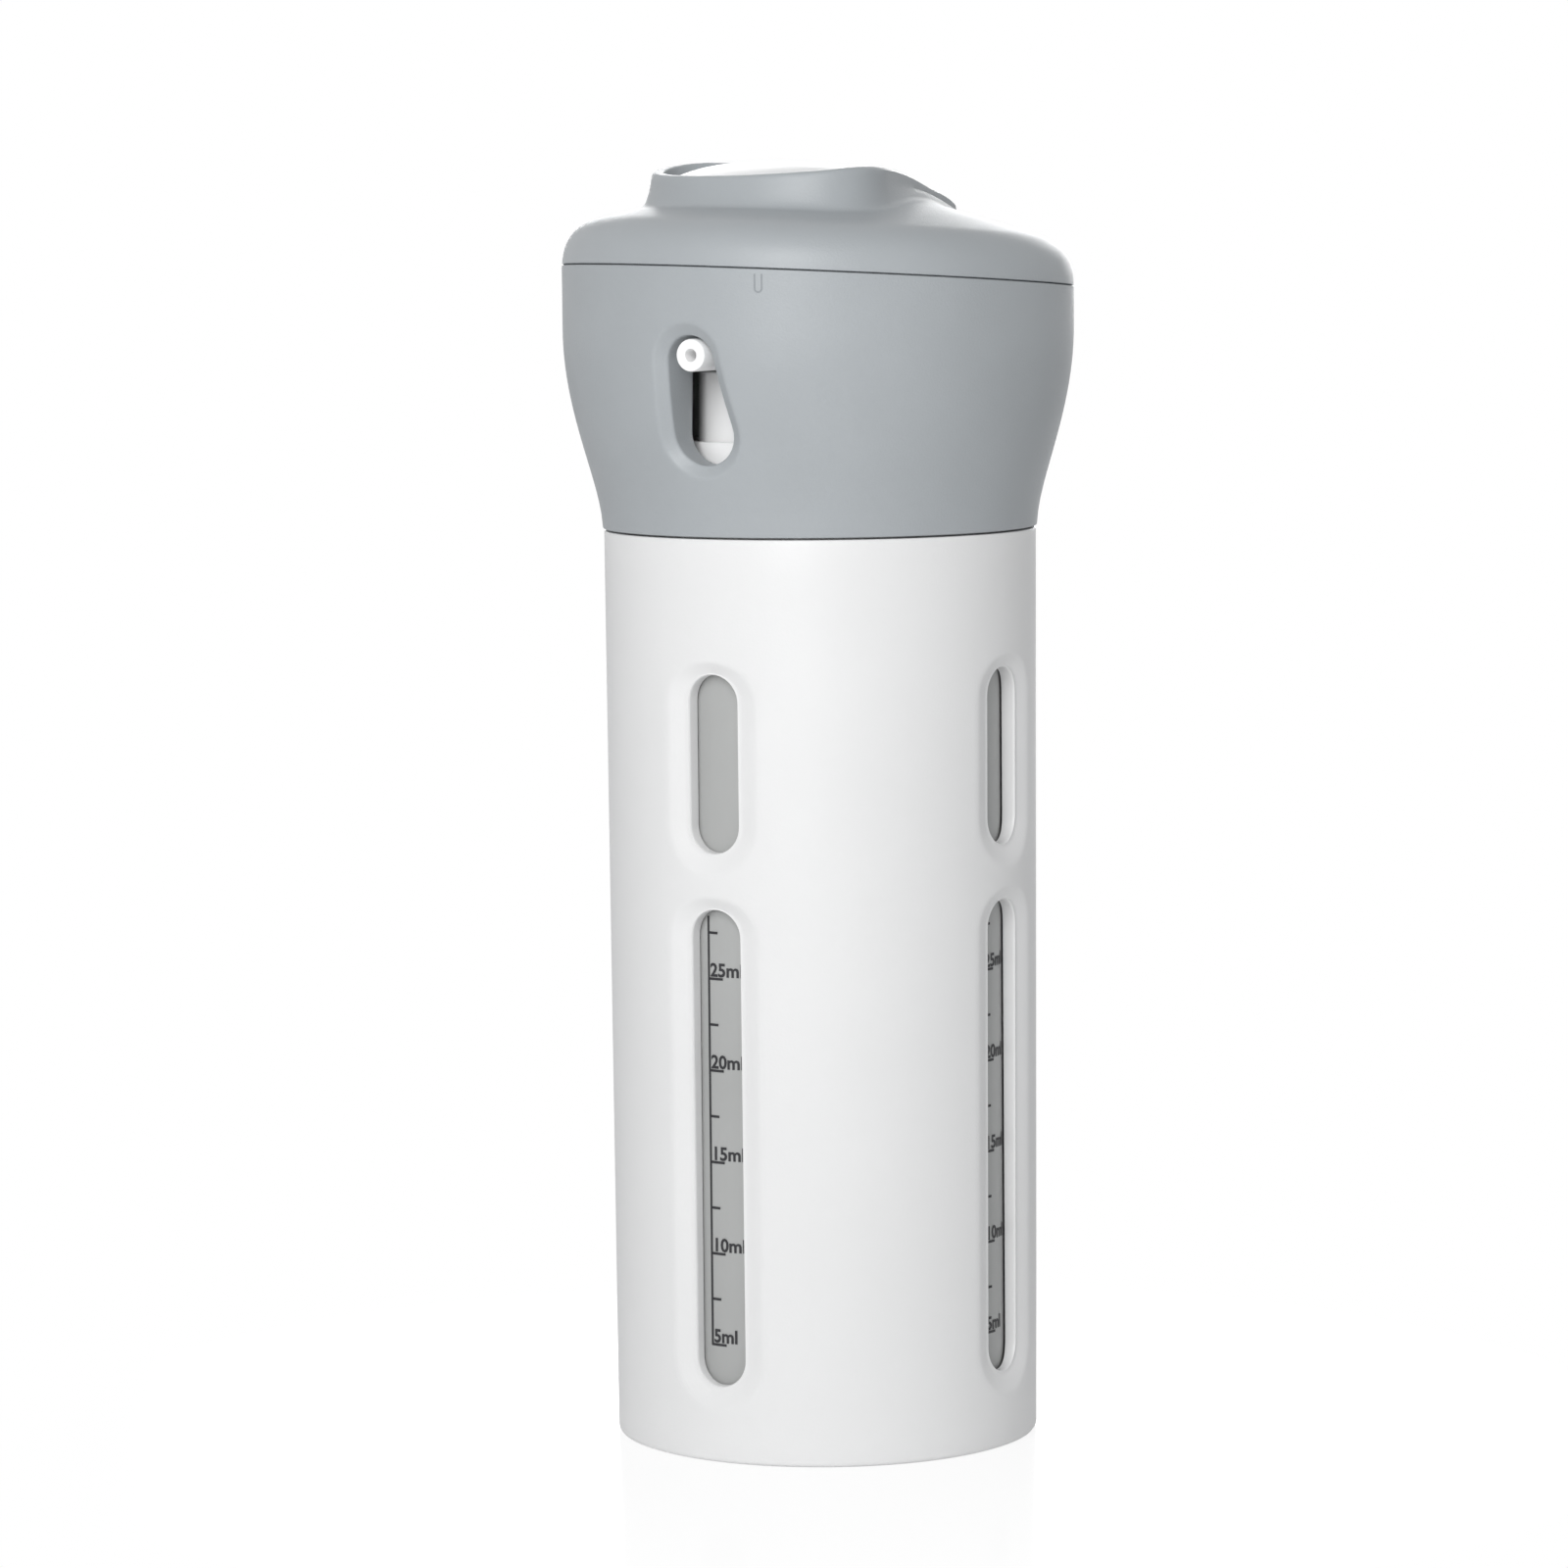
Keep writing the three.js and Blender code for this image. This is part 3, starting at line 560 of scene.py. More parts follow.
def cut_slot(builder, slot, places, turn, outer_loop, inner_loop):
    """Leads from the outer sheet over a slot's dished surround, lip and low rim to the inner sheet."""

    def outline(away):
        return [slot_point(slot, x, z, away)[:2] for x, z in places]

    ring = outer_loop
    for share, depth in SCOOP_STEPS:
        points = []
        for x, z in places:
            reach = scoop_reach(slot_point(slot, x, z, 0)[2])
            px, pz, _ = slot_point(slot, x, z, share * reach)
            points.append(on_case(px, pz, depth * SCOOP_DEPTH, turn))
        ring = builder.grow(ring, points)
    for away, depth in SLOT_LIP:
        ring = builder.grow(ring, [on_case(x, z, depth, turn) for x, z in outline(away)])
    for away in (0.0, RIM_WIDTH):
        ring = builder.grow(ring, [on_rim(x, z, turn) for x, z in outline(away)])
    ring = builder.grow(ring, [on_case(x, z, CASE_WALL, turn) for x, z in outline(RIM_FOOT)])
    builder.bridge(ring, inner_loop)


def build_case():
    builder = Builder()
    angles, inner_count = bay_angles()
    per_bay = len(angles) // BAYS
    rows, spans = case_rows()

    def cylinder(depth, heights):
        return [builder.ring(circle(case_radius_at(z) - depth, z, angles)) for z in heights]

    def turned_rings(profile):
        return [builder.ring(circle(r, z, angles)) for r, z in profile]

    def in_slot(row, column):
        if column % per_bay >= inner_count - 1:
            return False
        return any(a <= row < b for a, b in spans)

    outer = cylinder(0.0, rows)
    inner = cylinder(CASE_WALL, rows[:-1] + [CASE_HEIGHT - 2.4])
    builder.sheet(outer, in_slot)
    builder.sheet(inner, in_slot, flip=True)
    for bay in range(BAYS):
        turn = bay * math.pi / 2
        first = bay * per_bay
        last = first + inner_count - 1
        for (low, high), slot in zip(spans, SLOTS):
            loop = hole_loop(low, high, first, last)
            places = []
            for r, c in loop:
                z = rows[r]
                places.append((case_radius_at(z) * math.sin(angles[c] - turn), z))
            outer_loop = [outer[r][c] for r, c in loop]
            inner_loop = [inner[r][c] for r, c in loop]
            cut_slot(builder, slot, places, turn, outer_loop, inner_loop)
    top = [(CASE_RADIUS - 0.02, CASE_HEIGHT - 0.16), (CASE_RADIUS - 0.1, CASE_HEIGHT - 0.05)]
    top += [(CASE_RADIUS - 0.3, CASE_HEIGHT), (NECK_RADIUS, CASE_HEIGHT)]
    top += [(NECK_RADIUS, NECK_TOP - 0.3), (NECK_RADIUS - 0.3, NECK_TOP)]
    top += [(NECK_BORE, NECK_TOP), (NECK_BORE, CASE_HEIGHT - 0.9)]
    builder.chain([outer[-1]] + turned_rings(top) + [inner[-1]])
    base = CASE_RADIUS - CASE_DRAFT
    under = [(base - 0.12, 0.5), (base - 0.35, 0.2), (base - CASE_EDGE, 0.0), (STAND_INNER, 0.0)]
    under += [(STAND_INNER - STAND_HEIGHT, STAND_HEIGHT), (20, STAND_HEIGHT), (8, STAND_HEIGHT)]
    rings = [outer[0]] + turned_rings(under)
    builder.chain(rings[::-1])
    builder.close(rings[-1], False)
    inside = [(base - CASE_WALL - 0.2, FLOOR + 0.5), (base - CASE_WALL - 0.9, FLOOR)]
    inside += [(20, FLOOR), (8, FLOOR)]
    rings = [inner[0]] + turned_rings(inside)
    builder.chain(rings)
    builder.close(rings[-1], True)
    for bay in range(BAYS):
        builder.add(*pad(math.radians(45 + 90 * bay)))
    return builder.points, builder.faces


def pad(angle):
    """A ledge in a corner of the case, which carries the bottle holder."""
    block = []
    for x in (-PAD_HALF_WIDTH, PAD_HALF_WIDTH):
        block += [(x, -PAD_INNER, PAD_TOP), (x, -PAD_OUTER, PAD_TOP)]
        block += [(x, -PAD_OUTER, PAD_OUTER_FOOT), (x, -PAD_INNER, PAD_INNER_FOOT)]
    faces = [(0, 1, 2, 3), (7, 6, 5, 4), (0, 4, 5, 1), (1, 5, 6, 2), (2, 6, 7, 3), (3, 7, 4, 0)]
    return moved(block, Matrix.Rotation(angle, 4, "Z")), faces


make_object("case_shell", build_case(), WHITE, "case", ["outer_case"], 40)


# Bottles, their scales and their pumps

def bottle_profile():
    bore = BOTTLE_RADIUS - BOTTLE_WALL
    outer = [(0, BOTTLE_FOOT + 0.6), (7.2, BOTTLE_FOOT + 0.6), (8.8, BOTTLE_FOOT), (10.6, BOTTLE_FOOT)]
    outer += [(BOTTLE_RADIUS - 0.5, BOTTLE_FOOT + 0.5), (BOTTLE_RADIUS, BOTTLE_FOOT + 1.75)]
    outer += [(BOTTLE_RADIUS, BOTTLE_BODY_TOP - 1), (BOTTLE_RADIUS - 0.25, BOTTLE_BODY_TOP + 0.7)]
    outer += [(BOTTLE_RADIUS - 1.0, BOTTLE_BODY_TOP + 2.1), (BOTTLE_RADIUS - 2.5, BOTTLE_BODY_TOP + 3.8)]
    outer += [(BOTTLE_NECK + 0.7, BOTTLE_NECK_FOOT - 0.4), (BOTTLE_NECK, BOTTLE_NECK_FOOT + 0.3)]
    outer += [(BOTTLE_NECK, BOTTLE_TOP - 0.2), (BOTTLE_NECK - 0.2, BOTTLE_TOP)]
    outer += [(BOTTLE_NECK - 0.8, BOTTLE_TOP)]
    inner = [(BOTTLE_NECK - 1, BOTTLE_TOP - 0.2), (BOTTLE_NECK - 1, BOTTLE_NECK_FOOT - 0.5)]
    inner += [(bore - 1.05, BOTTLE_BODY_TOP + 2.0), (bore, BOTTLE_BODY_TOP - 1)]
    inner += [(bore, 5.2), (9.3, 4.0), (0, 4.0)]
    return outer + inner


def pump_parts():
    """What each piece of a bottle's pump is: name, material, slot, body, sides and profile."""
    closure = [(7.8, CLOSURE_FOOT), (11.0, CLOSURE_FOOT), (11.0, CLOSURE_TOP), (10.0, CLOSURE_TOP)]
    closure += [(10.0, 146.6), (8.6, 146.6), (8.6, CLOSURE_CROWN), (2.3, CLOSURE_CROWN)]
    closure += [(2.3, 153.0), (7.8, 153.0), (7.8, CLOSURE_FOOT)]
    actuator = [(8.8, ACTUATOR_FOOT), (9.25, ACTUATOR_FOOT), (9.25, ACTUATOR_TOP), (1.0, ACTUATOR_TOP)]
    actuator += [(1.0, ACTUATOR_UNDER), (2.3, ACTUATOR_UNDER), (2.3, 164.7), (3.6, 164.7)]
    actuator += [(3.6, ACTUATOR_UNDER), (8.8, ACTUATOR_UNDER), (8.8, ACTUATOR_FOOT)]
    piston = [(1.0, PISTON_FOOT), (3.9, PISTON_FOOT), (3.4, 150.8), (3.4, 151.8), (3.9, 152.7)]
    piston += [(2.0, 152.7), (2.0, STEM_TOP), (1.0, STEM_TOP), (1.0, PISTON_FOOT)]
    housing = [(1.9, HOUSING_FOOT), (2.6, HOUSING_FOOT), (2.6, 131.0), (5.0, 133.4), (5.0, 151.8)]
    housing += [(7.2, 151.8), (7.2, HOUSING_TOP), (4.2, HOUSING_TOP), (4.2, 134.2), (1.8, 134.2)]
    housing += [(1.8, 131.0), (0.9, 131.0), (0.9, 129.5), (1.9, 129.5), (1.9, HOUSING_FOOT)]
    gasket = [(5.3, 150.8), (7.2, 150.8), (7.2, 151.5), (5.3, 151.5), (5.3, 150.8)]
    tube = [(TUBE_BORE, TUBE_FOOT), (TUBE_RADIUS, TUBE_FOOT), (TUBE_RADIUS, TUBE_TOP)]
    tube += [(TUBE_BORE, TUBE_TOP), (TUBE_BORE, TUBE_FOOT)]
    return (
        ("pump_closure", PUMP, "pump_white", "case", 72, rounded(closure, 0.35)),
        ("pump_actuator", PUMP, "pump_white", "pump", 72, rounded(actuator, 0.5)),
        ("pump_piston", NATURAL, "pump_natural", "pump", 40, rounded(piston, 0.2)),
        ("pump_housing", NATURAL, "pump_natural", "case", 40, rounded(housing, 0.25)),
        ("gasket", SEAL, "seal", "case", 40, rounded(gasket, 0.2)),
        ("dip_tube", NATURAL, "pump_natural", "case", 24, rounded(tube, 0.1)),
    )


def text_mesh(words, size):
    """Flat points and faces of generic scale lettering."""
    curve = bpy.data.curves.new("lettering", "FONT")
    curve.body = words
    curve.size = size
    curve.resolution_u = 3
    curve.offset = FIGURE_BOLD
    carrier = bpy.data.objects.new("lettering", curve)
    bpy.context.scene.collection.objects.link(carrier)
    mesh = bpy.data.meshes.new_from_object(carrier)
    points = [tuple(v.co) for v in mesh.vertices]
    faces = [tuple(p.vertices) for p in mesh.polygons]
    bpy.data.objects.remove(carrier)
    bpy.data.curves.remove(curve)
    bpy.data.meshes.remove(mesh)
    return points, faces


def scale_level(volume):
    """Height of a volume in millilitres on the scale."""
    return SCALE_ZERO + SCALE_STEP * volume


def scale_print():
    """The volume scale on a bottle: a line, ticks and figures, laid on its front."""
    points = []
    faces = []

    def bar(x0, x1, z0, z1):
        count = max(1, math.ceil((x1 - x0) / 0.6))
        start = len(points)
        for x in fan(x0, x1, count):
            points.append((x, z0))
            points.append((x, z1))
        for i in range(count):
            a = start + i * 2
            faces.append((a, a + 2, a + 3, a + 1))

    left = SCALE_LINE - HALF_STROKE
    right = SCALE_LINE + HALF_STROKE
    bar(left, right, scale_level(5) - HALF_STROKE, scale_level(SCALE_TOP))
    for half in range(2, 12):
        volume = half * 2.5
        z = scale_level(volume)
        numbered = volume % 5 == 0
        tick = LONG_TICK if numbered else SHORT_TICK
        bar(right, SCALE_LINE + tick, z - HALF_STROKE, z + HALF_STROKE)
        if numbered:
            letters, shapes = text_mesh("%dml" % volume, FIGURE_SIZE)
            start = len(points)
            for x, y, _ in letters:
                points.append((SCALE_LINE + 0.3 + x * FIGURE_WIDTH, z + 0.4 + y))
            faces.extend([tuple(i + start for i in shape) for shape in shapes])
    radius = BOTTLE_RADIUS + PRINT_LIFT
    wrapped = [(radius * math.sin(x / radius), -radius * math.cos(x / radius), z) for x, z in points]
    return wrapped, faces


def build_bays():
    bottle_points, bottle_faces = lathe(bottle_profile(), 72)
    print_points, print_faces = scale_print()
    turned_parts = [(part, lathe(part[5], part[4])) for part in pump_parts()]
    for index in range(BAYS):
        number = index + 1
        place = bay_matrix(index)
        make_object("bottle_body_%d" % number, (moved(bottle_points, place), bottle_faces),
                    BOTTLE, "case", ["bottle_%d" % number])
        make_object("scale_print_%d" % number, (moved(print_points, place), print_faces), INK, "case")
        for (name, material, slot, body, _, _), (points, faces) in turned_parts:
            owner = "pump_%d" % number if body == "pump" else "case"
            make_object("%s_fine_%d" % (name, number), (moved(points, place), faces), material, owner,
                        ["%s_%d" % (name, number)])


build_bays()


# Collar

def bezier(points, t):
    """A point of the curve with two ends and two pulls."""
    a, b, c, d = [np.array(p, float) for p in points]
    return (1 - t) ** 3 * a + 3 * t * (1 - t) ** 2 * b + 3 * t * t * (1 - t) * c + t ** 3 * d


FLARE = [(COLLAR_FOOT, COLLAR_FOOT_HEIGHT)]
FLARE += [(COLLAR_FOOT + FLARE_FOOT_OUT, COLLAR_FOOT_HEIGHT + FLARE_FOOT_PULL)]
FLARE += [(HEAD_RADIUS, SEAM_HEIGHT - FLARE_TOP_PULL), (HEAD_RADIUS, SEAM_HEIGHT - FLARE_TOP_DROP)]
FLARE_LINE = np.array([bezier(FLARE, t) for t in np.linspace(0, 1, 200)])


def head_radius_at(height):
    return float(np.interp(height, FLARE_LINE[:, 1], FLARE_LINE[:, 0]))


def seam_at(x, y):
    """Height of the seam's plane above a place."""
    along = x * math.sin(CAP_TURN) - y * math.cos(CAP_TURN)
    return SEAM_HEIGHT + along * math.tan(CAP_TILT)


def window_point(x, z, offset):
    """The point at a distance outside the window's outline that lies nearest to a place."""
    high = np.array([WINDOW_TOP_ASIDE, NOZZLE_HEIGHT - WINDOW_TOP_DROP])
    low = np.array([WINDOW_FOOT_ASIDE, NOZZLE_HEIGHT - STROKE - WINDOW_FOOT_DROP])
    here = np.array([x, z])
    axis = high - low
    t = float(np.clip(np.dot(here - low, axis) / np.dot(axis, axis), 0, 1))
    centre = low + axis * t
    radius = WINDOW_FOOT_RADIUS + (WINDOW_TOP_RADIUS - WINDOW_FOOT_RADIUS) * t
    direction = (here - centre) / np.linalg.norm(here - centre)
    return centre + direction * (radius + offset)


def build_collar():
    builder = Builder()
    half = math.radians(WINDOW_HALF_ANGLE)
    angles = fan(-half, half, WINDOW_COLUMNS)
    angles += fan(half, 2 * math.pi - half, COLLAR_COLUMNS)[1:-1]
    low, high = WINDOW_PATCH
    rows = [COLLAR_FOOT_HEIGHT + 0.3, 146.0, 148.0] + fan(low, high, WINDOW_ROWS)
    last_row = len(rows) - 1
    first_row = last_row - WINDOW_ROWS
    tops = (0.35, 0.7, 0.93, 1.0)

    def top_points(share, depth, drop):
        """A row between the window's patch and the seam, which is tilted."""
        points = []
        for x, y, _ in circle(HEAD_RADIUS - depth, 0, angles):
            top = seam_at(x, y) - SEAM_WIDTH / 2 - drop
            points.append((x, y, high + (top - high) * share))
        return points

    outer = [builder.ring(circle(head_radius_at(z), z, angles)) for z in rows]
    outer += [builder.ring(top_points(share, 0, 0.12)) for share in tops]
    builder.sheet(outer, lambda r, c: first_row <= r < last_row and c < WINDOW_COLUMNS)
    loop = hole_loop(first_row, last_row, 0, WINDOW_COLUMNS)
    places = [(head_radius_at(rows[r]) * math.sin(angles[c]), rows[r]) for r, c in loop]

    def window_ring(away, depth):
        points = []
        for x, z in places:
            px, pz = window_point(x, z, away)
            radius = head_radius_at(pz) - depth
            points.append((px, -math.sqrt(radius * radius - px * px), pz))
        return points

    ring = [outer[r][c] for r, c in loop]
    for away, depth in BEVEL_STEPS:
        ring = builder.grow(ring, window_ring(away, depth * BEVEL_DEPTH))
    for away in (0.0, CHUTE_WALL):
        outline = [window_point(x, z, away) for x, z in places]
        ring = builder.grow(ring, [(x, -CHUTE_END, z) for x, z in outline])
    back = ring

    inner_rows = fan(COLLAR_INNER_FOOT, high, WINDOW_ROWS)
    inner = [builder.ring(circle(head_radius_at(z) - COLLAR_WALL, z, angles)) for z in inner_rows]
    inner += [builder.ring(top_points(share, COLLAR_WALL, 0.0)) for share in tops]
    builder.sheet(inner, lambda r, c: r < WINDOW_ROWS and c < WINDOW_COLUMNS, flip=True)
    join = builder.grow(back, window_ring(0.8, COLLAR_WALL))
    builder.bridge(join, [inner[r - first_row][c] for r, c in loop])
    lip = builder.ring(top_points(1.0, 0.25, 0.0))
    builder.chain([outer[-1], lip, inner[-1]])
    foot = [(COLLAR_FOOT - 0.04, COLLAR_FOOT_HEIGHT + 0.1), (COLLAR_FOOT - 0.25, COLLAR_FOOT_HEIGHT)]
    foot += [(COLLAR_LIP, COLLAR_FOOT_HEIGHT), (COLLAR_LIP, COLLAR_LIP_TOP)]
    foot += [(BEAD_ROOM, BEAD_ROOM_FOOT), (BEAD_ROOM, BEAD_ROOM_TOP), (RING_BORE, BEAD_ROOM_TOP)]
    foot += [(RING_BORE, COLLAR_RIB_TOP), (BEAD_ROOM, COLLAR_RIB_TOP)]
    rings = [outer[0]] + [builder.ring(circle(r, z, angles)) for r, z in foot] + [inner[0]]
    builder.chain(rings[::-1])
    return builder.points, builder.faces


make_object("collar_shell", build_collar(), GREY, "head", ["head_collar"], 38)

ring_profile = [(RING_BORE, COLLAR_FOOT_HEIGHT), (RING_RADIUS, COLLAR_FOOT_HEIGHT)]
ring_profile += [(RING_RADIUS, 147.2), (RING_BEAD, 147.4), (RING_BEAD, 149.7), (RING_RADIUS, 149.9)]
ring_profile += [(RING_RADIUS, RING_TOP), (NECK_BORE, RING_TOP), (NECK_BORE, RING_SHELF)]
ring_profile += [(RING_BORE, RING_SHELF), (RING_BORE, COLLAR_FOOT_HEIGHT)]
ring_surface = lathe(rounded(ring_profile, 0.25), 120)
make_object("ring_fine", ring_surface, GREY, "ring", ["turn_ring"])


def dark_u_mark():
    """A small U of darker grey that hangs below the seam, laid just over the head."""
    half = MARK_HALF_WIDTH
    middle = (MARK_TOP + MARK_FOOT) / 2
    bow = np.linspace(math.pi, 2 * math.pi, 13)
    path = [(-half, MARK_TOP), (-half, middle)]
    path += [(half * math.cos(a), MARK_FOOT + half * math.sin(a)) for a in bow]
    path += [(half, middle), (half, MARK_TOP)]
    points = []
    for i, (x, z) in enumerate(path):
        ahead = Vector(path[min(i + 1, len(path) - 1)]) - Vector(path[max(i - 1, 0)])
        side = Vector((ahead.y, -ahead.x)).normalized() * MARK_HALF_STROKE
        for sign in (-1, 1):
            place = MARK_AZIMUTH + (x + side.x * sign) / HEAD_RADIUS
            height = z + side.y * sign
            radius = head_radius_at(height) + MARK_LIFT
            points.append((radius * math.sin(place), -radius * math.cos(place), height))
    faces = [(2 * i, 2 * i + 1, 2 * i + 3, 2 * i + 2) for i in range(len(path) - 1)]
    return points, faces


# A thin darker grey U strip on the head, below the seam
make_object("dark_u_mark", dark_u_mark(), MARK, "head")


# Cap with its raised drop, and the button in it

def curve_through(start, control, end, shares):
    """Points of a curve from start to end that leaves and arrives towards the control point."""
    return [(1 - t) ** 2 * start + 2 * t * (1 - t) * control + t * t * end for t in shares]


def drop_outline(inset):
    """Plan of the drop as dense points: a round end towards -Y and two flats that meet at the tail."""
    radius = DROP_RADIUS - inset
    corner = np.array([math.sin(DROP_CORNER), -math.cos(DROP_CORNER)]) * DROP_RADIUS
    along = np.array([-corner[0], DROP_TAIL - corner[1]])
    along /= np.linalg.norm(along)
    outward = np.array([along[1], -along[0]])
    flat = float(np.dot(corner, outward)) - inset
    facing = math.atan2(outward[0], -outward[1])
    edge = facing - math.acos(flat / radius)
    tail = np.array([0.0, flat / outward[1]])
    arc_end = edge - CORNER_ROUND / radius
    arc = [np.array([math.sin(a), -math.cos(a)]) * radius for a in np.linspace(0, arc_end, 40)]
    tangent = np.array([math.cos(arc_end), math.sin(arc_end)])
    reach = (flat - float(np.dot(arc[-1], outward))) / float(np.dot(tangent, outward))
    control = arc[-1] + tangent * reach
    after = control + along * reach
    before = tail - along * TAIL_ROUND
    side = arc + curve_through(arc[-1], control, after, np.linspace(0, 1, 20)[1:])
    side += [after + (before - after) * t for t in np.linspace(0, 1, 40)[1:-1]]
    side += curve_through(before, tail, before * np.array([-1, 1]), np.linspace(0, 0.5, 9))
    other = np.array(side)[::-1][1:-1] * np.array([-1, 1])
    return np.vstack([side, other])


def drop_columns():
    """Angles of the cap's columns, closer together at the drop's corners and tail."""
    angles = set(round(a, 4) for a in np.arange(0, 180.01, 2.0))
    angles |= set(round(a, 4) for a in np.arange(64, 84, 1.0))
    angles |= set(round(a, 4) for a in (170, 172, 173.5, 175, 176, 177, 178, 179, 180))
    half = sorted(angles)
    return [math.radians(a) for a in half] + [math.radians(360 - a) for a in half[::-1][1:-1]]


COLUMNS = drop_columns()


def drop_ring(inset):
    """The outline at an inset, as one plan point for each column."""
    points = drop_outline(inset)
    angle = np.unwrap(np.arctan2(points[:, 0], -points[:, 1]))
    distance = np.hypot(points[:, 0], points[:, 1])
    order = np.argsort(np.mod(angle, 2 * math.pi))
    turned_angle = np.mod(angle, 2 * math.pi)[order]
    radius = np.interp(COLUMNS, turned_angle, distance[order], period=2 * math.pi)
    return [(r * math.sin(a), -r * math.cos(a)) for r, a in zip(radius, COLUMNS)]


WAVE_X = np.array([p[0] for p in WAVE], float)
WAVE_Y = np.array([p[1] for p in WAVE], float)
WAVE_TANGENT = np.gradient(WAVE_Y, WAVE_X)


def wave_height(x, y):
    """Height of the wave over the seam's plane, by a smooth curve through its named points."""
    i = int(np.clip(np.searchsorted(WAVE_X, y) - 1, 0, len(WAVE_X) - 2))
    step = WAVE_X[i + 1] - WAVE_X[i]
    t = (y - WAVE_X[i]) / step
    height = (2 * t ** 3 - 3 * t ** 2 + 1) * WAVE_Y[i]
    height += (t ** 3 - 2 * t ** 2 + t) * step * WAVE_TANGENT[i]
    height += (-2 * t ** 3 + 3 * t ** 2) * WAVE_Y[i + 1]
    height += (t ** 3 - t ** 2) * step * WAVE_TANGENT[i + 1]
    return height - x * WAVE_LEAN


CAP_FRAME = Matrix.Translation((0, 0, SEAM_HEIGHT)) @ Matrix.Rotation(CAP_TURN, 4, "Z")
CAP_FRAME = CAP_FRAME @ Matrix.Rotation(-CAP_TILT, 4, "X")
CAP_SPIN = Matrix.Rotation(CAP_TURN, 4, "Z")


def tilted(x, y, height):
    """The place of a point given over the seam's plane, in the cap's own directions."""
    return tuple(CAP_FRAME @ Vector((x, y, height)))


def upright(x, y, z):
    """The place of a point with a true height, in the cap's own directions."""
    return tuple(CAP_SPIN @ Vector((x, y, z)))


def wave_world(x, y):
    """True height of the wave."""
    return SEAM_HEIGHT - y * math.tan(CAP_TILT) + wave_height(x, y)


def dome_height(distance):
    """Height of the shallow cone round the drop, over the seam's plane."""
    return CREASE_RISE + (CREASE_RADIUS - distance) * DOME_SLOPE


LEANING_RINGS = [drop_ring(k * INSET_STEP) for k in range(INSET_COUNT + 1)]


def leaning(column, height):
    """Where a column of the drop's wall is at a height. The wall leans in as it rises."""
    inset = max(0.0, (height - LEAN_START) * DROP_TAPER)
    k = min(INSET_COUNT - 1, int(inset / INSET_STEP))
    t = inset / INSET_STEP - k
    (ax, ay), (bx, by) = LEANING_RINGS[k][column], LEANING_RINGS[k + 1][column]
    return ax + (bx - ax) * t, ay + (by - ay) * t


def rim_top(column, x, y):
    """Where a column of the drop's wall meets the wave, found in a few steps from its foot."""
    for _ in range(3):
        height = wave_height(x, y)
        x, y = leaning(column, height)
    return x, y, height


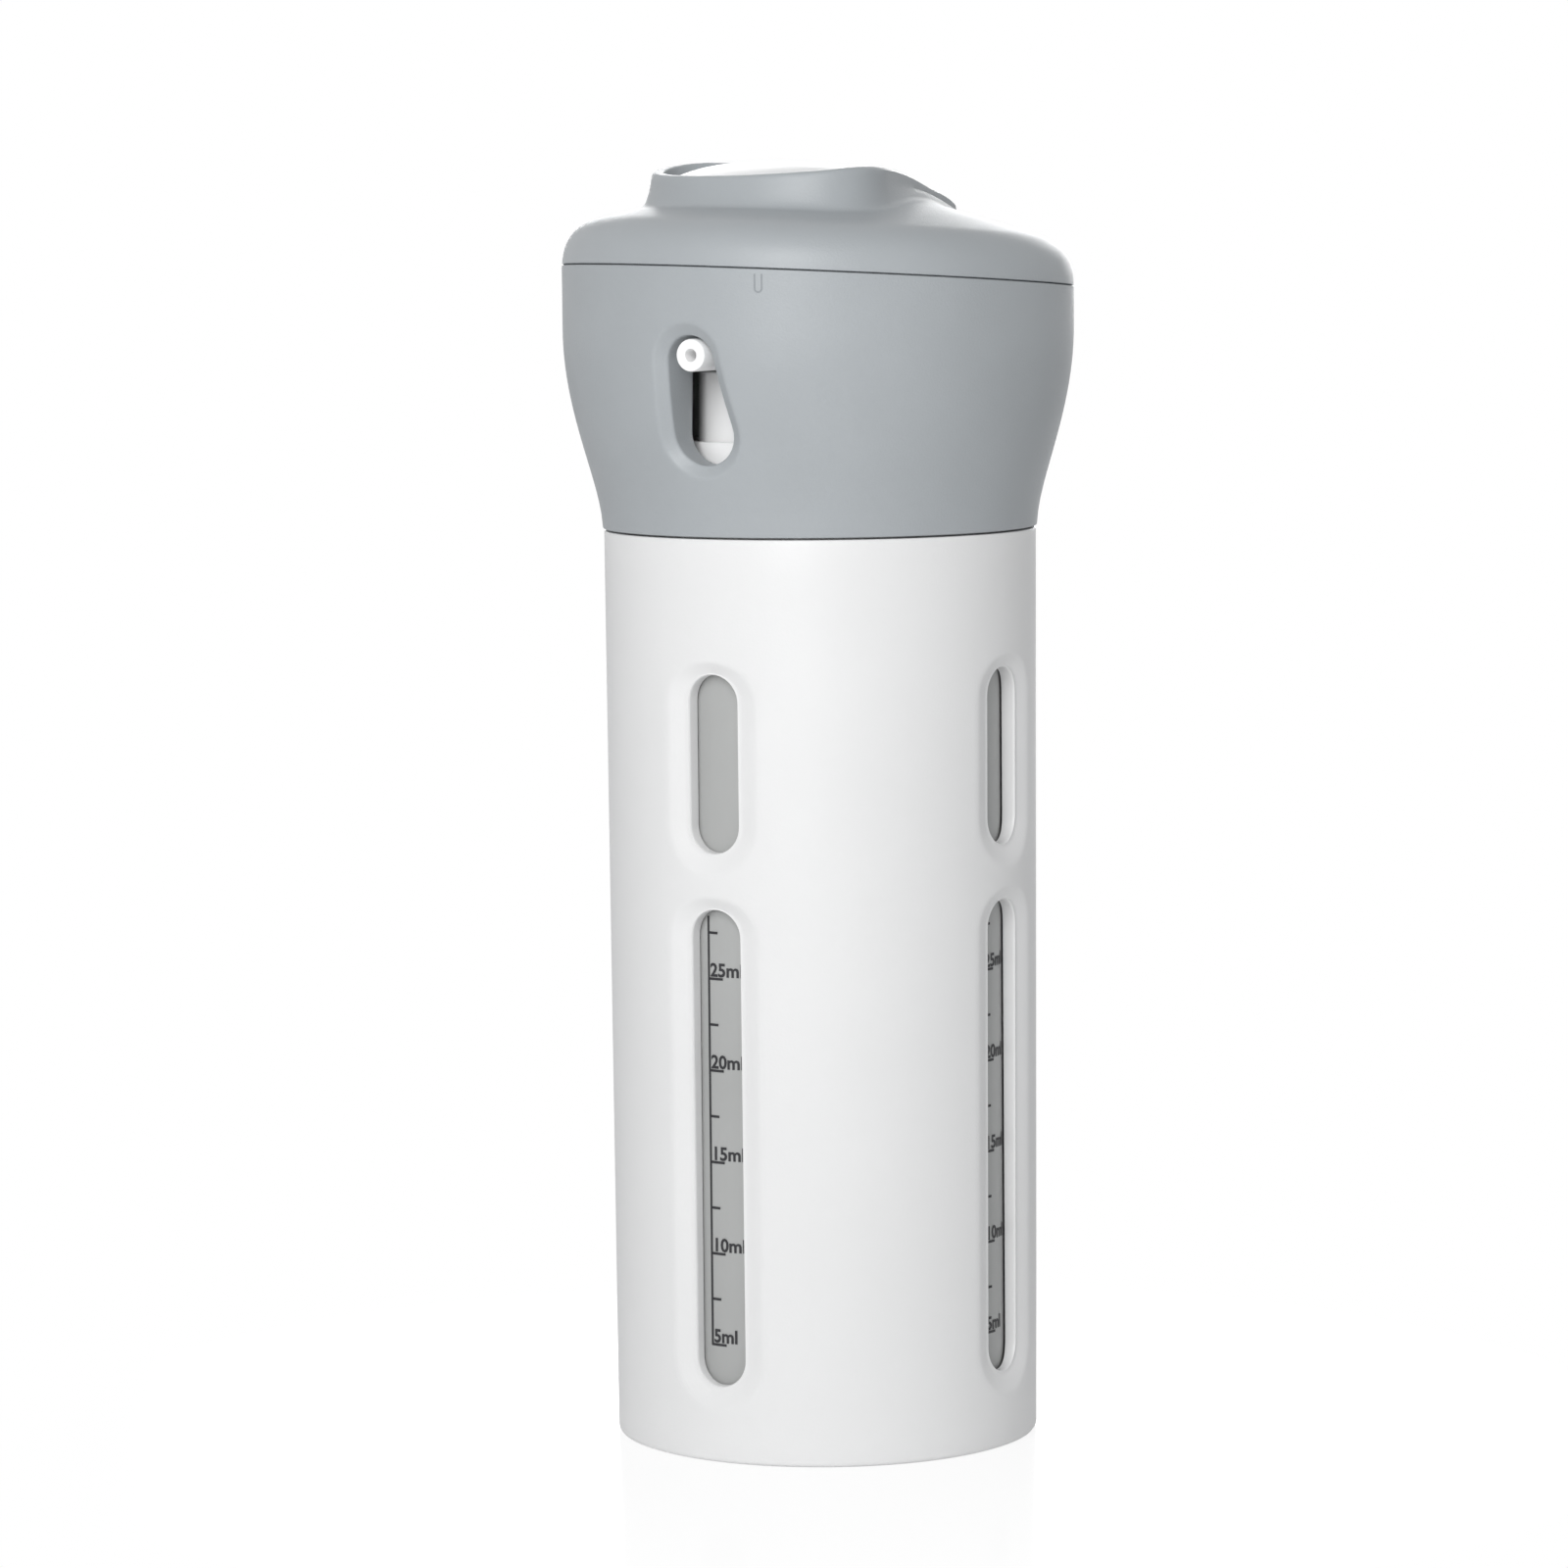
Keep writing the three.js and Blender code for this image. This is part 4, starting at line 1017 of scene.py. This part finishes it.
def build_cap():
    builder = Builder()
    edge = SEAM_WIDTH / 2
    spigot = HEAD_RADIUS - COLLAR_WALL - SPIGOT_GAP
    rings = []

    def round_ring(radius, height):
        rings.append(builder.ring([tilted(x, y, height) for x, y, _ in circle(radius, 0, COLUMNS)]))

    def upright_ring(plan, height):
        rings.append(builder.ring([upright(x, y, height) for x, y in plan]))

    round_ring(spigot, edge)
    round_ring(HEAD_RADIUS - 0.25, edge)
    shoulder = [(HEAD_RADIUS, edge + 0.12), (HEAD_RADIUS, 4.3)]
    shoulder += [(HEAD_RADIUS - 2.2, 6.7), (HEAD_RADIUS - 6.1, 7.75)]
    for t in np.linspace(0, 1, 15):
        round_ring(*bezier(shoulder, t))
    for radius, height in ((33.1, 7.98), (32.3, 8.2), (CREASE_RADIUS, CREASE_RISE - 0.03)):
        round_ring(radius, height)
    round_ring(CREASE_INNER, 8.58)
    plan = drop_ring(-1.5)
    for share in (0.25, 0.5, 0.75, 1.0):
        points = []
        for (x, y), (cx, cy, _) in zip(plan, circle(CREASE_INNER, 0, COLUMNS)):
            px, py = cx + (x - cx) * share, cy + (y - cy) * share
            points.append(tilted(px, py, dome_height(math.hypot(px, py))))
        rings.append(builder.ring(points))
    for inset, rise in ((-0.95, 0.06), (-0.5, 0.26), (-0.2, 0.6), (0.0, WALL_START)):
        points = []
        for x, y in drop_ring(inset):
            points.append(tilted(x, y, dome_height(math.hypot(x, y)) + rise))
        rings.append(builder.ring(points))
    foot_plan = drop_ring(0)
    tops = [rim_top(column, x, y) for column, (x, y) in enumerate(foot_plan)]
    for share in (0.3, 0.6, 0.85, 1.0):
        points = []
        for column, (x, y) in enumerate(foot_plan):
            low = dome_height(math.hypot(x, y)) + WALL_START
            high = max(tops[column][2] - 0.45, low + 0.02)
            height = low + (high - low) * share
            px, py = leaning(column, height)
            points.append(tilted(px, py, height))
        rings.append(builder.ring(points))
    well = drop_ring(WELL_INSET)
    land = [tuple(CAP_SPIN.inverted() @ Vector(tilted(x, y, h))) for x, y, h in tops]
    for share, drop in RIM_STEPS:
        points = []
        for (x, y, _), (wx, wy) in zip(land, well):
            px, py = x + (wx - x) * share, y + (wy - y) * share
            points.append(upright(px, py, wave_world(px, py) - drop))
        rings.append(builder.ring(points))
    wide = drop_ring(WELL_INSET - WELL_STEP)
    guide = drop_ring(WELL_INSET - WELL_STEP - GUIDE_WALL)
    upright_ring(well, SHOULDER_HEIGHT)
    upright_ring(wide, SHOULDER_HEIGHT)
    upright_ring(wide, GUIDE_FOOT)
    upright_ring(guide, GUIDE_FOOT)
    under = [tilted(x, y, dome_height(math.hypot(x, y)) - CAP_WALL) for x, y in guide]
    rings.append(builder.ring(under))
    round_ring(CREASE_RADIUS, CREASE_RISE - CAP_WALL)
    round_ring(34.0, 5.75)
    round_ring(spigot - SPIGOT_WALL, 3.1)
    round_ring(spigot - SPIGOT_WALL, -SPIGOT_DEPTH)
    round_ring(spigot - 0.3, -SPIGOT_DEPTH)
    round_ring(spigot, 0.3 - SPIGOT_DEPTH)
    rings.append(rings[0])
    builder.chain(rings)
    return builder.points, builder.faces


make_object("cap_shell", build_cap(), GREY, "head", ["head_cap"], 38)


def build_button():
    """The button: a domed crown that follows the wave, with a flange under the well's step."""
    builder = Builder()
    outline = WELL_INSET + GAP
    flange_high = SHOULDER_HEIGHT - GAP
    flange_low = flange_high - FLANGE_THICKNESS
    wide = outline - WELL_STEP
    inner = outline + BUTTON_WALL

    def level(inset, z):
        return builder.ring([upright(x, y, z) for x, y in drop_ring(inset)])

    def waved(inset, rise, share=1.0):
        plan = [(x * share, y * share) for x, y in drop_ring(inset)]
        return builder.ring([upright(x, y, wave_world(x, y) + rise) for x, y in plan])

    rings = [level(inner, flange_low), level(wide, flange_low)]
    rings += [level(wide, flange_high), level(outline, flange_high)]
    rings += [waved(outline + inset, rise) for inset, rise in CROWN_STEPS]
    rings.append(waved(outline + CROWN_STEPS[-1][0], CROWN_RISE, CROWN_SHARE))
    builder.chain(rings)
    builder.close(rings[-1], True)
    under = waved(inner, -BUTTON_THICKNESS)
    deep = waved(inner + 9.0, -BUTTON_THICKNESS)
    builder.chain([deep, under, rings[0]])
    builder.close(deep, False)
    return builder.points, builder.faces


make_object("button_fine", build_button(), BUTTON, "button", ["push_button"], 38)


def build_spout():
    """Plate over the pump, the post up to the button and the tube out to the nozzle, as one piece."""
    top = wave_world(0, -(DROP_RADIUS - WELL_INSET - GAP - BUTTON_WALL)) - POST_DROP
    profile = [(0, PLATE_FOOT), (10.7, PLATE_FOOT), (10.92, 169.1), (11.0, 169.3), (11.0, 170.9)]
    profile += [(10.9, 171.1), (10.7, 171.2), (8.0, 171.9), (6.2, 172.8), (4.8, 173.9), (3.9, 175.2)]
    profile += [(3.55, 176.4), (POST_RADIUS, 177.5), (POST_RADIUS, top - 0.3)]
    profile += [(POST_RADIUS - 0.3, top), (0, top)]
    length = HEAD_RADIUS - NOZZLE_SETBACK - BOTTLE_CIRCLE
    tube = [(NOZZLE_RADIUS, 3.0), (NOZZLE_RADIUS, length - 0.3), (NOZZLE_RADIUS - 0.1, length - 0.08)]
    tube += [(NOZZLE_RADIUS - 0.35, length), (NOZZLE_BORE + 0.25, length)]
    tube += [(NOZZLE_BORE + 0.06, length - 0.1), (NOZZLE_BORE, length - 0.35)]
    tube += [(NOZZLE_BORE, length - NOZZLE_DEPTH), (0, length - NOZZLE_DEPTH)]
    tube_points, tube_faces = lathe(tube, 48)
    lay = Matrix.Translation((0, 0, NOZZLE_HEIGHT)) @ Matrix.Rotation(NOZZLE_SWING, 4, "Z")
    lay = lay @ Matrix.Rotation(math.pi / 2, 4, "X")
    builder = Builder()
    builder.add(*lathe(profile, 64))
    builder.add(moved(tube_points, lay), tube_faces)
    return moved(builder.points, bay_matrix(0)), builder.faces


make_object("spout_fine", build_spout(), PUMP, "button", ["spout"], 38)


# Materials of the CAD nodes that stay

NODE_MATERIALS = {"bottle_holder": WHITE}
for number in range(1, BAYS + 1):
    NODE_MATERIALS["pump_spring_%d" % number] = STEEL
    NODE_MATERIALS["inlet_ball_%d" % number] = STEEL
for node, material in NODE_MATERIALS.items():
    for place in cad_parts[node].material_slots:
        place.material = material


# Floor, background, light and camera

def white_background(world):
    """White to the camera, in gloss and through glass, and a soft even light on the object."""
    world.use_nodes = True
    nodes = world.node_tree.nodes
    links = world.node_tree.links
    nodes.clear()
    output = nodes.new("ShaderNodeOutputWorld")
    ambient = nodes.new("ShaderNodeBackground")
    ambient.inputs["Color"].default_value = (0.97, 0.985, 1.0, 1)
    ambient.inputs["Strength"].default_value = AMBIENT
    shown = nodes.new("ShaderNodeBackground")
    shown.inputs["Color"].default_value = (1, 1, 1, 1)
    shown.inputs["Strength"].default_value = 1.0
    mix = nodes.new("ShaderNodeMixShader")
    path = nodes.new("ShaderNodeLightPath")
    seen = nodes.new("ShaderNodeMath")
    seen.operation = "MAXIMUM"
    mirrored = nodes.new("ShaderNodeMath")
    mirrored.operation = "MAXIMUM"
    links.new(path.outputs["Is Camera Ray"], seen.inputs[0])
    links.new(path.outputs["Is Glossy Ray"], seen.inputs[1])
    links.new(seen.outputs[0], mirrored.inputs[0])
    links.new(path.outputs["Is Transmission Ray"], mirrored.inputs[1])
    links.new(mirrored.outputs[0], mix.inputs["Fac"])
    links.new(ambient.outputs[0], mix.inputs[1])
    links.new(shown.outputs[0], mix.inputs[2])
    links.new(mix.outputs[0], output.inputs["Surface"])


def floor_material():
    material, nodes, links = new_material("floor_white")
    nodes.clear()
    output = nodes.new("ShaderNodeOutputMaterial")

    # What the camera sees: a faint shadow and reflection near the object, pure white further out
    glow = nodes.new("ShaderNodeEmission")
    glow.inputs["Strength"].default_value = FLOOR_GLOW
    matt = nodes.new("ShaderNodeBsdfDiffuse")
    matt.inputs["Color"].default_value = (FLOOR_SHADOW, FLOOR_SHADOW, FLOOR_SHADOW, 1)
    both = nodes.new("ShaderNodeAddShader")
    links.new(glow.outputs[0], both.inputs[0])
    links.new(matt.outputs[0], both.inputs[1])
    gloss = nodes.new("ShaderNodeBsdfGlossy")
    gloss.inputs["Roughness"].default_value = 0.12
    lit = nodes.new("ShaderNodeMixShader")
    lit.inputs["Fac"].default_value = FLOOR_GLOSS
    links.new(both.outputs[0], lit.inputs[1])
    links.new(gloss.outputs[0], lit.inputs[2])
    place = nodes.new("ShaderNodeTexCoord")
    away = nodes.new("ShaderNodeVectorMath")
    away.operation = "LENGTH"
    links.new(place.outputs["Object"], away.inputs[0])
    fade = nodes.new("ShaderNodeMapRange")
    fade.inputs["From Min"].default_value = FADE_START
    fade.inputs["From Max"].default_value = FADE_END
    links.new(away.outputs["Value"], fade.inputs["Value"])
    far = nodes.new("ShaderNodeEmission")
    faded = nodes.new("ShaderNodeMixShader")
    links.new(fade.outputs["Result"], faded.inputs["Fac"])
    links.new(lit.outputs[0], faded.inputs[1])
    links.new(far.outputs[0], faded.inputs[2])

    # What the object gets from it: a pale matt floor
    plain = nodes.new("ShaderNodeBsdfDiffuse")
    plain.inputs["Color"].default_value = (FLOOR_COLOUR, FLOOR_COLOUR, FLOOR_COLOUR, 1)
    bounce = nodes.new("ShaderNodeEmission")
    bounce.inputs["Strength"].default_value = FLOOR_BOUNCE
    light = nodes.new("ShaderNodeAddShader")
    links.new(plain.outputs[0], light.inputs[0])
    links.new(bounce.outputs[0], light.inputs[1])

    path = nodes.new("ShaderNodeLightPath")
    pick = nodes.new("ShaderNodeMixShader")
    links.new(path.outputs["Is Camera Ray"], pick.inputs["Fac"])
    links.new(light.outputs[0], pick.inputs[1])
    links.new(faded.outputs[0], pick.inputs[2])
    links.new(pick.outputs[0], output.inputs["Surface"])
    return material


scene = bpy.context.scene
scene.view_settings.view_transform = "Standard"
scene.world = scene.world or bpy.data.worlds.new("studio")
white_background(scene.world)

floor_mesh = bpy.data.meshes.new("floor")
floor_corners = [(-FLOOR_REACH, -FLOOR_REACH, 0), (FLOOR_REACH, -FLOOR_REACH, 0)]
floor_corners += [(FLOOR_REACH, FLOOR_REACH, 0), (-FLOOR_REACH, FLOOR_REACH, 0)]
floor_mesh.from_pydata(floor_corners, [], [(0, 1, 2, 3)])
floor_mesh.materials.append(floor_material())
floor = bpy.data.objects.new("floor", floor_mesh)
scene.collection.objects.link(floor)


def soft_light(name, azimuth, height, distance, width, tall, power):
    """An area light aimed at the object. Azimuth 0 is the front, and it grows towards +X."""
    data = bpy.data.lights.new(name, "AREA")
    data.shape = "RECTANGLE"
    data.size = width
    data.size_y = tall
    data.energy = power
    lamp = bpy.data.objects.new(name, data)
    angle = math.radians(azimuth)
    lamp.location = (distance * math.sin(angle), -distance * math.cos(angle), height)
    lamp.visible_camera = False
    aim = Vector((0, 0, AIM_HEIGHT)) - lamp.location
    lamp.rotation_mode = "QUATERNION"
    lamp.rotation_quaternion = aim.to_track_quat("-Z", "Y")
    scene.collection.objects.link(lamp)


soft_light("key_light", azimuth=17, height=0.55, distance=1.0, width=0.5, tall=0.7, power=8.0)
soft_light("back_light", azimuth=205, height=0.42, distance=1.6, width=0.9, tall=0.5, power=9.5)

camera_data = bpy.data.cameras.new("camera")
camera_data.lens = CAMERA_LENS
camera_data.sensor_width = 36.0
camera_data.shift_x = CAMERA_SHIFT
camera_data.clip_start = 0.01
camera_data.clip_end = 20.0
camera = bpy.data.objects.new("camera", camera_data)
heading = Matrix.Rotation(CAMERA_HEADING, 4, "Z")
pitch = Matrix.Rotation(math.pi / 2 + CAMERA_PITCH, 4, "X")
roll = Matrix.Rotation(CAMERA_ROLL, 4, "Z")
camera.matrix_world = Matrix.Translation(CAMERA_PLACE) @ heading @ pitch @ roll
scene.collection.objects.link(camera)
scene.camera = camera
